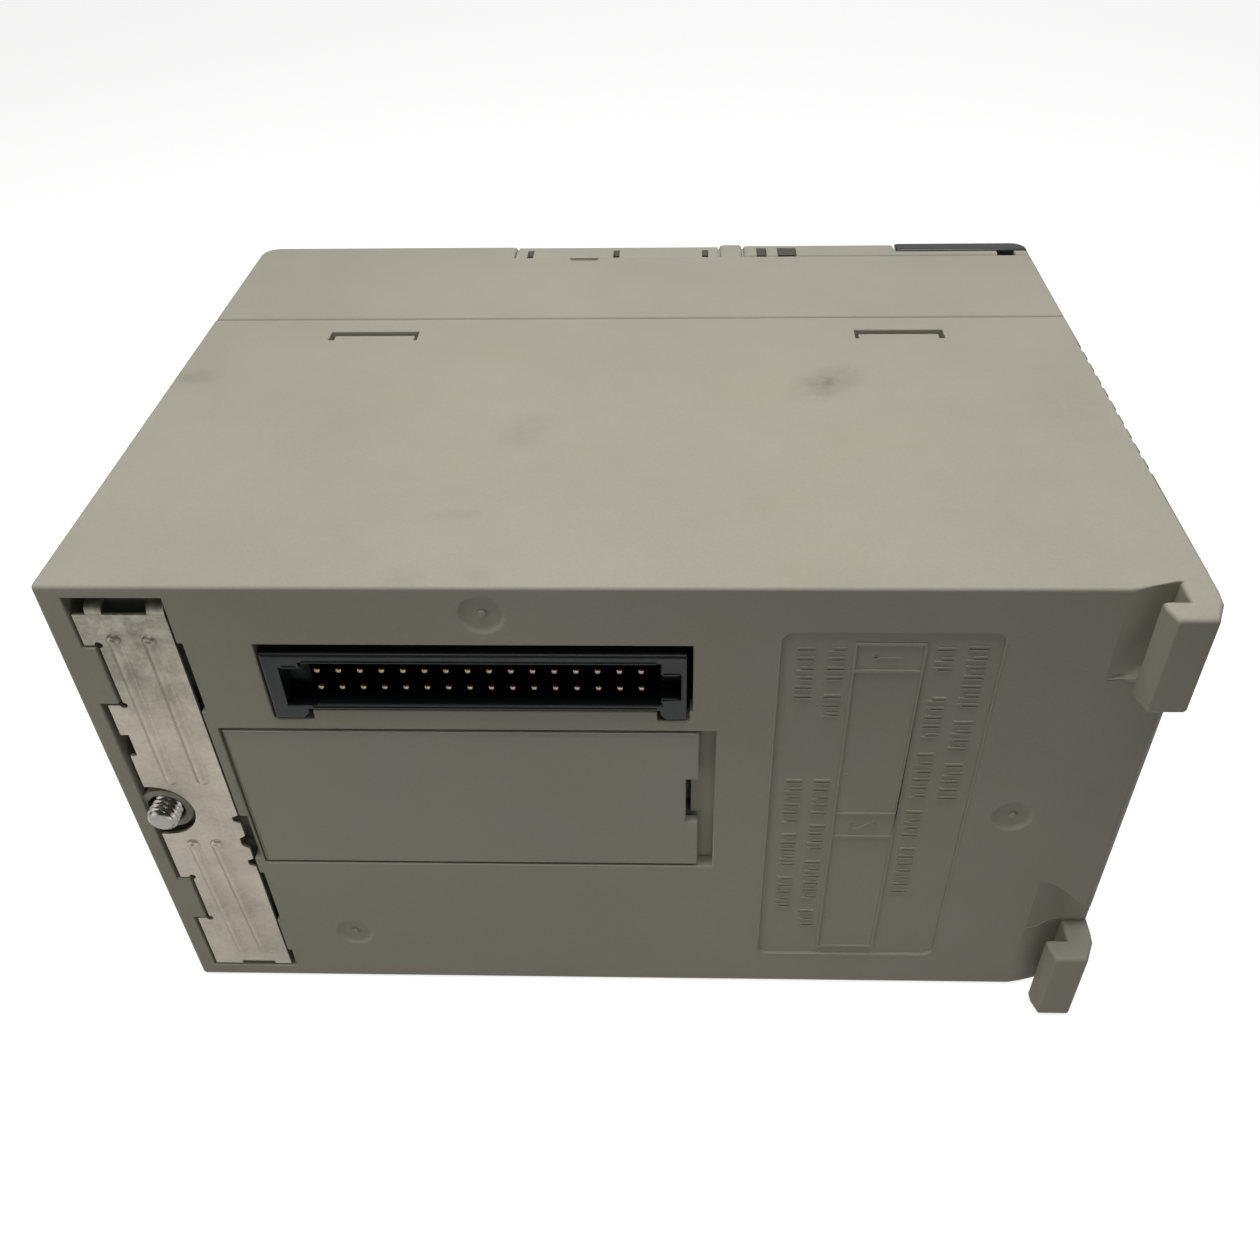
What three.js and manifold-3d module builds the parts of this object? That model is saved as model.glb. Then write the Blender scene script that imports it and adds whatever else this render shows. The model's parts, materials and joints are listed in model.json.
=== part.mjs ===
// A rack-mounted controller module: two plastic shells around three circuit boards, with a backplane
// connector, a ground plate, a battery compartment, two mounting hooks and a captive screw on the rear,
// and doors, ports and indicators on the front.
//
// Every size is in millimetres. X runs up the unit as it hangs in its rack, from its lower end at 0 to the
// hooks; Y runs from the rear face at 0 to the front; Z runs across the width, from the left side at 0,
// on which the module lies, to the right side. The exported group moves that frame's origin to the middle
// of the footprint.
import * as THREE from 'three';
import { ConvexGeometry } from 'three/addons/geometries/ConvexGeometry.js';
import { mergeVertices } from 'three/addons/utils/BufferGeometryUtils.js';
import Module from 'manifold-3d';

const wasm = await Module();
wasm.setup();

// ---------------------------------------------------------------- driving dimensions

const GAP = 0.3; // between pieces that touch
const PAST = 1; // how far a cutter runs past the face that it opens
const FINE = 32; // sides of a large round
const COARSE = 14; // sides of a small round

const CASE = { height: 130, width: 73, wall: 2.5, split: 68.9, edge: 0.5 };
const REAR_TOP_ROUND = { x: 2.15, y: 3.7 }; // the rounded edge between the rear face and the top end
const FRONT = { face: 97.5, step: 92.8, wall: 2.5, corner: 3, nameplate: 98 };
const LOWER_BLOCK = [0, 43.8]; // full-depth block with the ports
const RIB = [78.4, 82.1]; // full-depth rib between the door and the bezel
const BEZEL = { x: [82.4, 130], skin: 2.2, shelf: 94.8, shelfStart: 107.8 };

const HOOK = {
  width: 13.5, lipStart: 123.4, neckStart: 126.3, lipTop: -1.9, reach: -5.3, chamfer: [0.7, 2], edge: 0.6,
};
// How the outer side of a hook curves back into the end of the case, from [end, reach].
const HOOK_CURVE = [[-1.6, 0], [-0.75, 1.9], [-0.15, 3.2], [0, 4.8]];
const RAMP = { start: 120.8, depth: 1.5, slope: 2.4, inset: 2.7, flareEnd: 26 };
const FLARE = [
  [119, 23.7], [121, 23.7], [122.3, 23.4], [123.6, 22.5], [124.9, 21.4], [126.4, 19.8], [127.6, 18.6],
  [131, 15.4],
];
const VENTS = { count: 10, pitch: 3.7, first: 24.5, half: 0.9, groove: 0.45, upper: [9, 64] };
const VENTS_LOWER = [[9, 27], [46, 64]];
const SNAPS = {
  x: [[19.2, 32.5], [97.7, 110.8]], y: [61.4, 64.3], side: 0.6, arm: 2.3, armEnd: 76, sunk: 0.4,
};
const GATES = {
  at: [[49.9, 69.1], [114.8, 36.6], [25.1, 10.7]], rim: 2.65, floor: 2, depth: 0.5, nub: 0.5,
  nubTop: 0.15,
};
const PANEL = {
  x: [83.6, 108.6], z: [6.9, 66.8], deep: 0.35, corner: 1.4, frameX: [92, 99.9], frameZ: [8.5, 65],
  line: 0.35, lineTop: 0.1, cells: [32.4, 36.75, 61],
};

const PLATE = { y: [0.2, 0.7], right: 14, z: [2.6, 68.9], bead: 0.35, beadWidth: 0.95 };
const PLATE_LEFT_UPPER = [
  [3.3, 64.4], [5, 64.4], [5, 55], [3, 55], [3, 50], [4, 50], [4, 46.4], [3.1, 46.4], [3.1, 40.7],
];
const PLATE_LEFT_LOWER = [[2.8, 31.7], [2.8, 22.7], [4.5, 22.7], [4.5, 13.5], [2.7, 13.5]];
const PLATE_FOOT = { x: [6.7, 11.6], up: 0.6 };
const PLATE_BITES = { z: [[25, 26.7], [28.8, 31.4], [33.9, 35.4]], deep: 0.9 };
const PLATE_RELIEFS = { at: [[5, 64.4], [5, 55], [4.5, 22.7], [4.5, 13.5]], radius: 0.45 };
const SCREW_BITE = { x: 4, z: 36.2, radius: 4.5 };
const BEADS = [
  [7, 65.4, 7, 42], [11.1, 65.1, 11.1, 42], [6.5, 29.7, 7.4, 6.1], [9.7, 29.7, 10.7, 6.1],
];
const TABS = { x: [[4.9, 6.8], [12, 14]], rise: 2, thick: 0.5, back: 3 };
const POCKET = { x: [2.3, 14.3], z: [2.3, 71.3], depth: 3.5, slab: 6, slabX: 17.8 };
// Where the pocket runs out past the plate on its right, and where its left wall steps in, as
// [from z, to z, x].
const POCKET_WIDER = [[54.2, 64.8, 14.9], [27.1, 35.6, 15.3], [13.4, 23.9, 14.8], [2.3, 6.2, 14.8]];
const POCKET_STEPS = [[64.1, 71.3, 3], [55.3, 64.1, 4.6], [13.8, 22.4, 4.1]];
const SCREW = {
  x: 4.8, z: 36.4, tip: -2, thread: 2, core: 1.65, shank: 1.6, pitch: 0.7,
  threadEnd: 5, head: [22.3, 25], headRadius: 3.5, hole: 2.4, collar: 3.4, collarTop: 0.4,
};
const SCREW_BLOCK = { x: 10.3, z: [30.7, 42.1], seat: 18, chamber: [6, 15.5], chamberRadius: 3.9 };
const RING = { y: [12.3, 13.3], inner: 1.9, outer: 3.3 };
const CHANNEL = { x: 8.8, z: [32.2, 40.6] }; // screwdriver groove along the lower end

const SOCKET = {
  x: [23.3, 72.9], z: [54.9, 64.4], y: [-0.3, 11], floor: 9, cavityX: [27.8, 69.8], cavityZ: [55.8, 62.1],
  endX: 25.3, endZ: [55.6, 61.3], endDepth: 3, keyX: 72.2, keyZ: [56.8, 60.4],
  stepZ: 63.5, stepDepth: 1.6, footZ: 53.4, footX: [[23.3, 27.6], [69.7, 72.9]], footCorner: 0.9,
};
const PINS = { count: 16, pitch: 2.54, x: 29.45, rows: [57.7, 60.3], size: 0.64, tip: 0.6, hole: 1.25 };
const CARRIER = [11.3, 12.3];

const COVER = { x: [15.9, 74.5], z: [26.5, 51.1], y: [0.1, 1.6], notchX: 72.9, notchZ: [34.9, 42.8] };
const REBATE = { x: [15.6, 76.5], z: [26.2, 51.4], depth: 1.9 };
const COVER_LATCH = { x: [71.9, 73.5], z: [35.2, 42.5], depth: 4, wall: 1.2 };
const COVER_FOOT = { x: [24, 62], length: 1.5, y: [2.8, 4.2], reach: 1.2 };
const BATTERY_BAY = { x: [18, 72], z: [27, 50.6], mouthZ: [28.5, 49.1], depth: 22, wall: 1.2 };
const CELL = { x: [22, 56], y: 11.5, z: 38.8, radius: 8 };

const BOARD = 1.6;
const MAIN_BOARD = { x: [11, 126.5], y: 44, z: [3.2, 69.8] };
const FACE_BOARD = { x: [11, 126.5], y: 72, z: [5.2, 67.8] };
const PLUG_BOARD = { x: [21, 78], y: 13, z: [52.6, 69.8] };
const POSTS = [[16, 8], [16, 65], [121, 8], [121, 65]];
const POST = { boss: 3.5, hex: 3.2, stud: 1.5, hole: 1.8, studEnd: 38, screwEnd: 66, head: 3, headTop: 76 };

const DOOR = {
  x: [44.1, 78.1], z: [0.3, 72.7], skin: 2.1, wall: 2, axisY: 96, axisZ: 1.8, pin: 0.6,
  slots: [46.3, 60.9, 75.9],
};
const PORT_DOOR = { x: [86.3, 103.7], z: [38.3, 63.7], y: [95.3, 97.4], axisX: 87.4, axisY: 96.3, pin: 0.5 };
const OPTION_COVER = { x: [5, 39], z: [5, 28], skin: 2.2 };
const WELL = { x: [5, 39], z: [51, 65.5], floor: 89.8, wall: 1.5 };
const DSUB = { x: 22, z: 58.25, flange: [30.8, 12.5], shell: [18.4, 8.8], front: 93, jack: 12.5 };

const LEDS = { x: 119, z: [16, 30, 44, 58] };
const DIP = { x: [50.4, 67.8], z: [54, 63.6], y: [73.9, 78.9], count: 6, pitch: 2.54, first: 52.75 };

// ---------------------------------------------------------------- materials

const finish = (color, roughness, metalness) => ({ color, roughness, metalness });
const BEIGE = finish(0xa3a08f, 0.62, 0);
const BEIGE_DOOR = finish(0xa6a392, 0.6, 0);
const TIN = finish(0xa59e91, 0.42, 0.85);
const NICKEL = finish(0xc9c6bd, 0.25, 1);
const BLACK = finish(0x17181a, 0.5, 0);
const GOLD = finish(0xc8a85a, 0.28, 1);
const GREEN_BOARD = finish(0x2c5a38, 0.5, 0);
const CHIP = finish(0x1f2022, 0.55, 0);
const SMOKE = finish(0x2f3034, 0.25, 0);
const CLEAR = finish(0xd6dad8, 0.1, 0);
const LED_GREEN = finish(0x9fc79a, 0.3, 0);
const LED_RED = finish(0xc96a5c, 0.3, 0);
const CELL_WRAP = finish(0x8fa3b5, 0.45, 0);
const LEAD_RED = finish(0xa03228, 0.6, 0);
const WHITE = finish(0xe6e3d8, 0.5, 0);

// ---------------------------------------------------------------- solids

function solidOf(geometry) {
  const bare = geometry.clone();
  bare.deleteAttribute('normal');
  bare.deleteAttribute('uv');
  const merged = mergeVertices(bare);
  const index = merged.index.array;
  const triVerts = [];
  for (let i = 0; i < index.length; i += 3) {
    const [a, b, c] = [index[i], index[i + 1], index[i + 2]];
    if (a !== b && b !== c && c !== a) triVerts.push(a, b, c);
  }
  return new wasm.Manifold(new wasm.Mesh({
    numProp: 3,
    vertProperties: new Float32Array(merged.attributes.position.array),
    triVerts: new Uint32Array(triVerts),
  }));
}

function geometryOf(solid) {
  const { vertProperties, triVerts } = solid.getMesh();
  const geometry = new THREE.BufferGeometry();
  geometry.setAttribute('position', new THREE.BufferAttribute(new Float32Array(vertProperties), 3));
  geometry.setIndex(new THREE.BufferAttribute(new Uint32Array(triVerts), 1));
  geometry.computeVertexNormals();
  return geometry;
}

const join = (...solids) => solids.reduce((a, b) => a.add(b));
const cut = (body, ...tools) => body.subtract(join(...tools));

const mid = ([a, b]) => (a + b) / 2;
const size = ([a, b]) => b - a;
const grow = ([a, b], by) => [a - by, b + by];

// A box given by its range along each axis.
function block(x, y, z) {
  return solidOf(new THREE.BoxGeometry(size(x), size(y), size(z)).translate(mid(x), mid(y), mid(z)));
}

// A cylinder along Y, through (x, z).
function rodY(x, z, radius, y, sides = COARSE) {
  return solidOf(new THREE.CylinderGeometry(radius, radius, size(y), sides).translate(x, mid(y), z));
}

// A cylinder along X, through (y, z).
function rodX(x, y, z, radius, sides = COARSE) {
  const rod = new THREE.CylinderGeometry(radius, radius, size(x), sides).rotateZ(Math.PI / 2);
  return solidOf(rod.translate(mid(x), y, z));
}

// A cylinder along Z, through (x, y).
function rodZ(x, y, z, radius, sides = COARSE) {
  const rod = new THREE.CylinderGeometry(radius, radius, size(z), sides).rotateX(Math.PI / 2);
  return solidOf(rod.translate(x, y, mid(z)));
}

function outline(points) {
  return new THREE.Shape(points.map(([a, b]) => new THREE.Vector2(a, b)));
}

// An outline in X and Y, extruded across the width, with its end edges bevelled.
function acrossWidth(shape, z, bevel = 0) {
  const geometry = new THREE.ExtrudeGeometry(shape, {
    depth: size(z) - 2 * bevel,
    bevelEnabled: bevel > 0,
    bevelThickness: bevel,
    bevelSize: bevel,
    bevelOffset: -bevel,
    bevelSegments: 2,
    curveSegments: 6,
  });
  return solidOf(geometry.translate(0, 0, z[0] + bevel));
}

// An outline in X and Z, extruded along the depth.
function alongDepth(shape, y, curveSegments = 6) {
  const geometry = new THREE.ExtrudeGeometry(shape, { depth: size(y), bevelEnabled: false, curveSegments });
  return solidOf(geometry.rotateX(Math.PI / 2).translate(0, y[1], 0));
}

function roundedRectangle(a, b, radius) {
  const shape = new THREE.Shape();
  shape.moveTo(a[0] + radius, b[0]);
  shape.lineTo(a[1] - radius, b[0]);
  shape.absarc(a[1] - radius, b[0] + radius, radius, -Math.PI / 2, 0);
  shape.lineTo(a[1], b[1] - radius);
  shape.absarc(a[1] - radius, b[1] - radius, radius, 0, Math.PI / 2);
  shape.lineTo(a[0] + radius, b[1]);
  shape.absarc(a[0] + radius, b[1] - radius, radius, Math.PI / 2, Math.PI);
  shape.lineTo(a[0], b[0] + radius);
  shape.absarc(a[0] + radius, b[0] + radius, radius, Math.PI, Math.PI * 1.5);
  return shape;
}

// A turned piece along Y, through (x, z), from a profile of [radius, y] points that ends on the axis.
function turned(profile, x, z, sides = COARSE) {
  const points = profile.map(([r, y]) => new THREE.Vector2(r, y));
  return solidOf(new THREE.LatheGeometry(points, sides).translate(x, 0, z));
}

const module = new THREE.Group();

function piece(name, solid, look) {
  const mesh = new THREE.Mesh(geometryOf(solid), new THREE.MeshStandardMaterial(look));
  mesh.name = name;
  module.add(mesh);
}

// ---------------------------------------------------------------- rear shell

function rearOutline() {
  const corner = 0.6;
  const end = CASE.split - GAP / 2;
  const shape = new THREE.Shape();
  shape.moveTo(corner, 0);
  shape.lineTo(CASE.height - REAR_TOP_ROUND.x, 0);
  shape.quadraticCurveTo(CASE.height, 0.4, CASE.height, REAR_TOP_ROUND.y);
  shape.lineTo(CASE.height, end);
  shape.lineTo(0, end);
  shape.lineTo(0, corner);
  shape.absarc(corner, corner, corner, Math.PI, Math.PI * 1.5);
  return shape;
}

function shellCavity(y) {
  const { height, width, wall } = CASE;
  return block([wall, height - wall], y, [wall, width - wall]);
}

// The hook stands out of the rear face near the top end: a neck in line with the end, and a lip
// that turns down over the edge of the rack.
function hook(z) {
  const { lipStart, neckStart, lipTop, reach, chamfer } = HOOK;
  const top = CASE.height;
  const shape = outline([
    [neckStart, REAR_TOP_ROUND.y + PAST],
    [neckStart, lipTop],
    [lipStart, lipTop],
    [lipStart, reach + chamfer[1]],
    [lipStart + chamfer[0], reach],
    ...HOOK_CURVE.map(([x, y]) => [top + x, reach + y]),
    [top, REAR_TOP_ROUND.y + PAST],
  ]);
  return acrossWidth(shape, z, HOOK.edge);
}

// A sloping recess in the rear face that leads the edge of the rack in under a hook. It is at its
// full depth across z, and rises to the face again over a short slope at each end.
function ramp(z) {
  const { start, depth, slope } = RAMP;
  const end = CASE.height + PAST;
  const corners = [[start, -PAST], [start, 0], [HOOK.neckStart, depth], [end, depth], [end, -PAST]];
  const points = corners.flatMap(([x, y]) => {
    const reach = y > 0 ? 0 : slope;
    return [new THREE.Vector3(x, y, z[0] - reach), new THREE.Vector3(x, y, z[1] + reach)];
  });
  return solidOf(new ConvexGeometry(points));
}

// The recess at the left hook runs on past the hook, under a curved edge.
function flaredRamp() {
  const [first] = FLARE;
  const last = FLARE[FLARE.length - 1];
  const area = outline([[first[0], -PAST], ...FLARE, [last[0], -PAST]]);
  const under = alongDepth(area, [-2 * PAST, RAMP.depth + PAST]);
  return under.intersect(ramp([-2 * PAST, RAMP.flareEnd]));
}

function ventCutters() {
  const { height, width, wall } = CASE;
  const cutters = [];
  for (let i = 0; i < VENTS.count; i++) {
    const y = VENTS.first + i * VENTS.pitch;
    const slot = [y - VENTS.half, y + VENTS.half];
    cutters.push(block([height - VENTS.groove, height + PAST], slot, [-PAST, width + PAST]));
    cutters.push(block([height - wall - PAST, height + PAST], slot, VENTS.upper));
    for (const z of VENTS_LOWER) cutters.push(block([-PAST, wall + PAST], slot, z));
  }
  return cutters;
}

function snapWindows() {
  const { width, wall } = CASE;
  const sides = [[-PAST, wall + PAST], [width - wall - PAST, width + PAST]];
  return SNAPS.x.flatMap((x) => sides.map((z) => block(x, SNAPS.y, z)));
}

// Round tapered dishes where the plastic ran into the mould, each with a small raised nub.
function gateMarks() {
  const { at, rim, floor, depth, nub, nubTop } = GATES;
  const profile = [[0, -PAST], [rim, -PAST], [rim, 0], [floor, depth], [0, depth]];
  const dishes = at.map(([x, z]) => turned(profile, x, z, FINE));
  const nubs = at.map(([x, z]) => rodY(x, z, nub, [nubTop, depth + 0.2]));
  return { dishes, nubs };
}

// The notice panel: a shallow rounded recess with a ruled frame for two dates.
function noticePanel() {
  const { x, z, deep, corner, frameX, frameZ, line, lineTop, cells } = PANEL;
  const recess = alongDepth(roundedRectangle(x, z, corner), [-PAST, deep]);
  const y = [lineTop, deep + 0.2];
  const rule = (at) => grow([at, at], line / 2);
  const rails = frameX.map((at) => block(rule(at), y, grow(frameZ, line / 2)));
  const rungs = [...frameZ, ...cells].map((at) => block(grow(frameX, line / 2), y, rule(at)));
  return { recess, lines: [...rails, ...rungs] };
}

function screwBlock() {
  const { x, z } = SCREW_BLOCK;
  const end = CASE.split - GAP / 2;
  return block([CASE.wall - PAST, x], [POCKET.slab - PAST, end], z);
}

function screwCutters() {
  const { seat, chamber, chamberRadius } = SCREW_BLOCK;
  return [
    rodY(SCREW.x, SCREW.z, SCREW.hole, [-PAST, seat + PAST], FINE),
    rodY(SCREW.x, SCREW.z, chamberRadius, chamber, FINE),
    block([-PAST, CHANNEL.x], [seat, CASE.split + PAST], CHANNEL.z),
  ];
}

function platePocket() {
  const { x, z, depth } = POCKET;
  const y = [-PAST, depth];
  const wider = POCKET_WIDER.map(([low, high, right]) => block([x[1] - PAST, right], y, [low, high]));
  return [block(x, y, z), ...wider];
}

function platePocketSteps() {
  const { x, depth } = POCKET;
  const y = [0, depth + PAST];
  return POCKET_STEPS.map(([low, high, right]) => block([x[0] - PAST, right], y, [low, high]));
}

function batteryBox() {
  const { x, z, depth, wall } = BATTERY_BAY;
  return block(grow(x, wall), [CASE.wall - PAST, depth + wall], grow(z, wall));
}

function batteryCutters() {
  const { x, z, mouthZ, depth } = BATTERY_BAY;
  const cutters = [
    block(REBATE.x, [-PAST, REBATE.depth], REBATE.z),
    block(x, [REBATE.depth - PAST, depth], mouthZ),
    block(x, [CASE.wall, depth], z),
  ];
  for (const foot of COVER_FOOT.x) {
    const way = [foot + COVER_FOOT.length, foot + 2 * COVER_FOOT.length + 0.6];
    cutters.push(block(way, [REBATE.depth - PAST, CASE.wall + PAST], z));
  }
  cutters.push(block(COVER_LATCH.x, [0, COVER_LATCH.depth], COVER_LATCH.z));
  return cutters;
}

function latchBlock() {
  const { x, z, depth, wall } = COVER_LATCH;
  return block(grow(x, wall), [CASE.wall - PAST, depth + wall], grow(z, wall));
}

function connectorOpening() {
  const y = [-PAST, CASE.wall + PAST];
  const x = [SOCKET.x[0] - GAP, 73.6];
  const footZ = [SOCKET.footZ - GAP, SOCKET.z[0] + PAST];
  const feet = SOCKET.footX.map((foot) => block(grow(foot, GAP), y, footZ));
  return [block(x, y, grow(SOCKET.z, GAP)), ...feet];
}

function rearCase() {
  const bosses = POSTS.map(([x, z]) => rodY(x, z, POST.boss, [CASE.wall - PAST, MAIN_BOARD.y - GAP]));
  const bossHoles = POSTS.map(([x, z]) => rodY(x, z, POST.hole, [POST.studEnd - 0.5, MAIN_BOARD.y]));
  const marks = gateMarks();
  const panel = noticePanel();
  const { width } = CASE;
  const hookSpans = [[width - HOOK.width, width], [0, HOOK.width]];
  const ramps = [ramp([width - HOOK.width + RAMP.inset, width + PAST]), flaredRamp()];
  const outer = acrossWidth(rearOutline(), [0, width], CASE.edge);
  const shell = cut(outer, shellCavity([CASE.wall, CASE.split + PAST]));
  const body = join(
    shell,
    block([CASE.wall - PAST, POCKET.slabX], [CASE.wall - PAST, POCKET.slab], [PAST, width - PAST]),
    screwBlock(), batteryBox(), latchBlock(), ...bosses,
  );
  const collar = rodY(SCREW.x, SCREW.z, SCREW.collar, [SCREW.collarTop, POCKET.depth + PAST], FINE);
  const pocketed = join(
    cut(body, ...platePocket(), ...batteryCutters(), ...ramps),
    collar, ...platePocketSteps(),
  );
  const opened = cut(
    pocketed, ...screwCutters(), ...connectorOpening(), ...bossHoles, ...ventCutters(), ...snapWindows(),
    ...marks.dishes, panel.recess,
  );
  return join(opened, ...marks.nubs, ...panel.lines, ...hookSpans.map(hook));
}

// ---------------------------------------------------------------- front shell

function frontOutline() {
  const { face, step, corner, nameplate } = FRONT;
  const shape = new THREE.Shape();
  shape.moveTo(0, CASE.split + GAP / 2);
  shape.lineTo(CASE.height, CASE.split + GAP / 2);
  shape.lineTo(CASE.height, step);
  shape.lineTo(RIB[1], step);
  shape.lineTo(RIB[1], nameplate);
  shape.lineTo(RIB[0], nameplate);
  shape.lineTo(RIB[0], step);
  shape.lineTo(LOWER_BLOCK[1], step);
  shape.lineTo(LOWER_BLOCK[1], face);
  shape.lineTo(corner, face);
  shape.absarc(corner, face - corner, corner, Math.PI / 2, Math.PI);
  return shape;
}

// A springy tongue on the front shell whose nose stands in a window of the rear shell.
function snapTongue(x, upper) {
  const { width, wall } = CASE;
  const { y, side, arm, armEnd, sunk } = SNAPS;
  const mirror = ([a, b]) => (upper ? [a, b] : [width - b, width - a]);
  const span = grow(x, -side);
  const inside = width - wall;
  return join(
    block(span, [y[0] + GAP, armEnd], mirror([inside - arm, inside - GAP])),
    block(span, [CASE.split + PAST, armEnd], mirror([inside - arm, inside + PAST])),
    block(span, [y[0] + GAP, y[1] - side], mirror([inside - PAST, width - sunk])),
  );
}

function fingernailNotch() {
  const x = 55.6;
  const shape = outline([
    [x - 2.5, 92.1], [x - 2.1, 91.3], [x + 2.1, 91.3], [x + 2.5, 92.1], [x + 2.2, 92.4], [x - 2.2, 92.4],
  ]);
  return acrossWidth(shape, [CASE.width - 0.5, CASE.width + PAST]);
}

function dShape(width, height, lean = 0.8) {
  const [a, b] = [width / 2, height / 2];
  return outline([
    [DSUB.x - a, DSUB.z + b], [DSUB.x - a + lean, DSUB.z - b], [DSUB.x + a - lean, DSUB.z - b],
    [DSUB.x + a, DSUB.z + b],
  ]);
}

const DIP_WINDOW = { x: [48, 70.2], z: [52, 65.6] };
const CASSETTE = { x: [50, 76], z: [18, 46], y: [80.6, 92.4] };
const PORT = { x: [87, 103], z: [39.5, 62.5], y: [73.9, 92.5], floor: 84, wall: 2 };

function frontCase() {
  const { width, wall } = CASE;
  const { face, step } = FRONT;
  const outer = acrossWidth(frontOutline(), [0, width], CASE.edge);
  const cavity = join(
    shellCavity([CASE.split - PAST, step - wall]),
    block([wall, LOWER_BLOCK[1] - 2.2], [step - wall - PAST, face - FRONT.wall], [wall, width - wall]),
  );
  const tongues = SNAPS.x.flatMap((x) => [snapTongue(x, true), snapTongue(x, false)]);
  const channelY = [CASE.split + GAP / 2, face - PAST];
  const channelWalls = block([wall - PAST, SCREW_BLOCK.x], channelY, SCREW_BLOCK.z);
  const wellY = [WELL.floor - WELL.wall, face - PAST];
  const well = block(grow(WELL.x, WELL.wall), wellY, grow(WELL.z, WELL.wall));
  const body = join(cut(outer, cavity), channelWalls, well, ...tongues);
  const frontWall = [step - wall - PAST, step + PAST];
  const floorCut = [WELL.floor - WELL.wall - PAST, WELL.floor + PAST];
  const jacks = [-DSUB.jack, DSUB.jack].map((dx) => rodY(DSUB.x + dx, DSUB.z, 1.7, floorCut));
  return cut(
    body,
    block([-PAST, CHANNEL.x], [CASE.split - PAST, face + PAST], CHANNEL.z),
    block(WELL.x, [WELL.floor, face + PAST], WELL.z),
    alongDepth(dShape(DSUB.shell[0] + 2 * GAP, DSUB.shell[1] + 2 * GAP), floorCut),
    ...jacks,
    block(grow(OPTION_COVER.x, GAP), [face - FRONT.wall - PAST, face + PAST], grow(OPTION_COVER.z, GAP)),
    block(grow(CASSETTE.x, 1), frontWall, grow(CASSETTE.z, 1)),
    block(DIP_WINDOW.x, frontWall, DIP_WINDOW.z),
    block(grow(PORT.x, 0.5), frontWall, grow(PORT.z, 0.5)),
    ...LEDS.z.map((z) => rodY(LEDS.x, z, 1.8, frontWall)),
    rodX([LOWER_BLOCK[1] - 1.2, LOWER_BLOCK[1] + PAST], DOOR.axisY, DOOR.axisZ, DOOR.pin + GAP),
    rodX([RIB[0] - PAST, RIB[0] + 1.2], DOOR.axisY, DOOR.axisZ, DOOR.pin + GAP),
    fingernailNotch(),
  );
}

// ---------------------------------------------------------------- rear fittings

// A stamped strip with a stepped left edge, a bite around the screw, four pressed beads and two
// tabs at its upper end that fold back into the pocket.
function groundPlate() {
  const [low, high] = PLATE.z;
  const { right, y } = PLATE;
  const shape = new THREE.Shape();
  shape.moveTo(right, high);
  shape.lineTo(PLATE_LEFT_UPPER[0][0], high);
  PLATE_LEFT_UPPER.forEach(([x, z]) => shape.lineTo(x, z));
  shape.absarc(SCREW_BITE.x, SCREW_BITE.z, SCREW_BITE.radius, Math.PI / 2, -Math.PI / 2, true);
  PLATE_LEFT_LOWER.forEach(([x, z]) => shape.lineTo(x, z));
  const { x: foot, up } = PLATE_FOOT;
  const end = [[2.7, low], [foot[0], low], [foot[0], low + up], [foot[1], low + up], [foot[1], low]];
  end.forEach(([x, z]) => shape.lineTo(x, z));
  shape.lineTo(right, low);
  PLATE_BITES.z.forEach(([from, to]) => {
    shape.lineTo(right, from);
    shape.lineTo(right - PLATE_BITES.deep, (from * 3 + to) / 4);
    shape.lineTo(right - PLATE_BITES.deep, (from + to * 3) / 4);
    shape.lineTo(right, to);
  });
  const reliefs = PLATE_RELIEFS.at.map(([x, z]) => rodY(x, z, PLATE_RELIEFS.radius, grow(y, PAST)));
  const sheet = cut(alongDepth(shape, y), ...reliefs);
  const { rise, thick, back } = TABS;
  const tabs = TABS.x.flatMap((x) => [
    block(x, y, [high - PAST, high + rise]),
    block(x, [y[0], back], [high + rise - thick, high + rise]),
  ]);
  return join(sheet, ...BEADS.map(bead), ...tabs);
}

function bead([x1, z1, x2, z2]) {
  const half = PLATE.beadWidth / 2;
  const length = Math.hypot(x2 - x1, z2 - z1);
  const along = Math.atan2(z2 - z1, x2 - x1);
  const shape = new THREE.Shape();
  shape.absarc(0, 0, half, Math.PI / 2, Math.PI * 1.5);
  shape.absarc(length, 0, half, -Math.PI / 2, Math.PI / 2);
  const geometry = new THREE.ExtrudeGeometry(shape, {
    depth: PLATE.bead, bevelEnabled: true, bevelThickness: 0.2, bevelSize: 0.2, bevelOffset: -0.2,
    bevelSegments: 1, curveSegments: 4,
  });
  return solidOf(geometry.rotateZ(along).rotateX(Math.PI / 2).translate(x1, PLATE.y[0] + 0.2, z1));
}

function mountingScrew() {
  const { tip, thread, core, shank, pitch, threadEnd, head, headRadius } = SCREW;
  const profile = [[0, tip], [1.3, tip], [1.3, tip + 0.5], [core, tip + 0.7]];
  for (let y = tip + 0.9; y + pitch < threadEnd; y += pitch) {
    profile.push([thread, y + 0.2], [core, y + 0.5]);
  }
  profile.push([shank, threadEnd], [shank, head[0]], [headRadius, head[0]], [headRadius, head[1] - 0.4]);
  profile.push([headRadius - 0.4, head[1]], [0, head[1]]);
  const driverSlots = [
    block(grow([SCREW.x, SCREW.x], 0.5), [head[1] - 1.3, head[1] + PAST], grow([SCREW.z, SCREW.z], 2.4)),
    block(grow([SCREW.x, SCREW.x], 2.4), [head[1] - 1.3, head[1] + PAST], grow([SCREW.z, SCREW.z], 0.5)),
  ];
  return cut(turned(profile, SCREW.x, SCREW.z, 16), ...driverSlots);
}

function ring(x, z, inner, outer, y) {
  return cut(rodY(x, z, outer, y), rodY(x, z, inner, grow(y, PAST)));
}

const PIN_SPOTS = PINS.rows.flatMap((z) =>
  Array.from({ length: PINS.count }, (_, i) => [PINS.x + i * PINS.pitch, z]));

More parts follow.
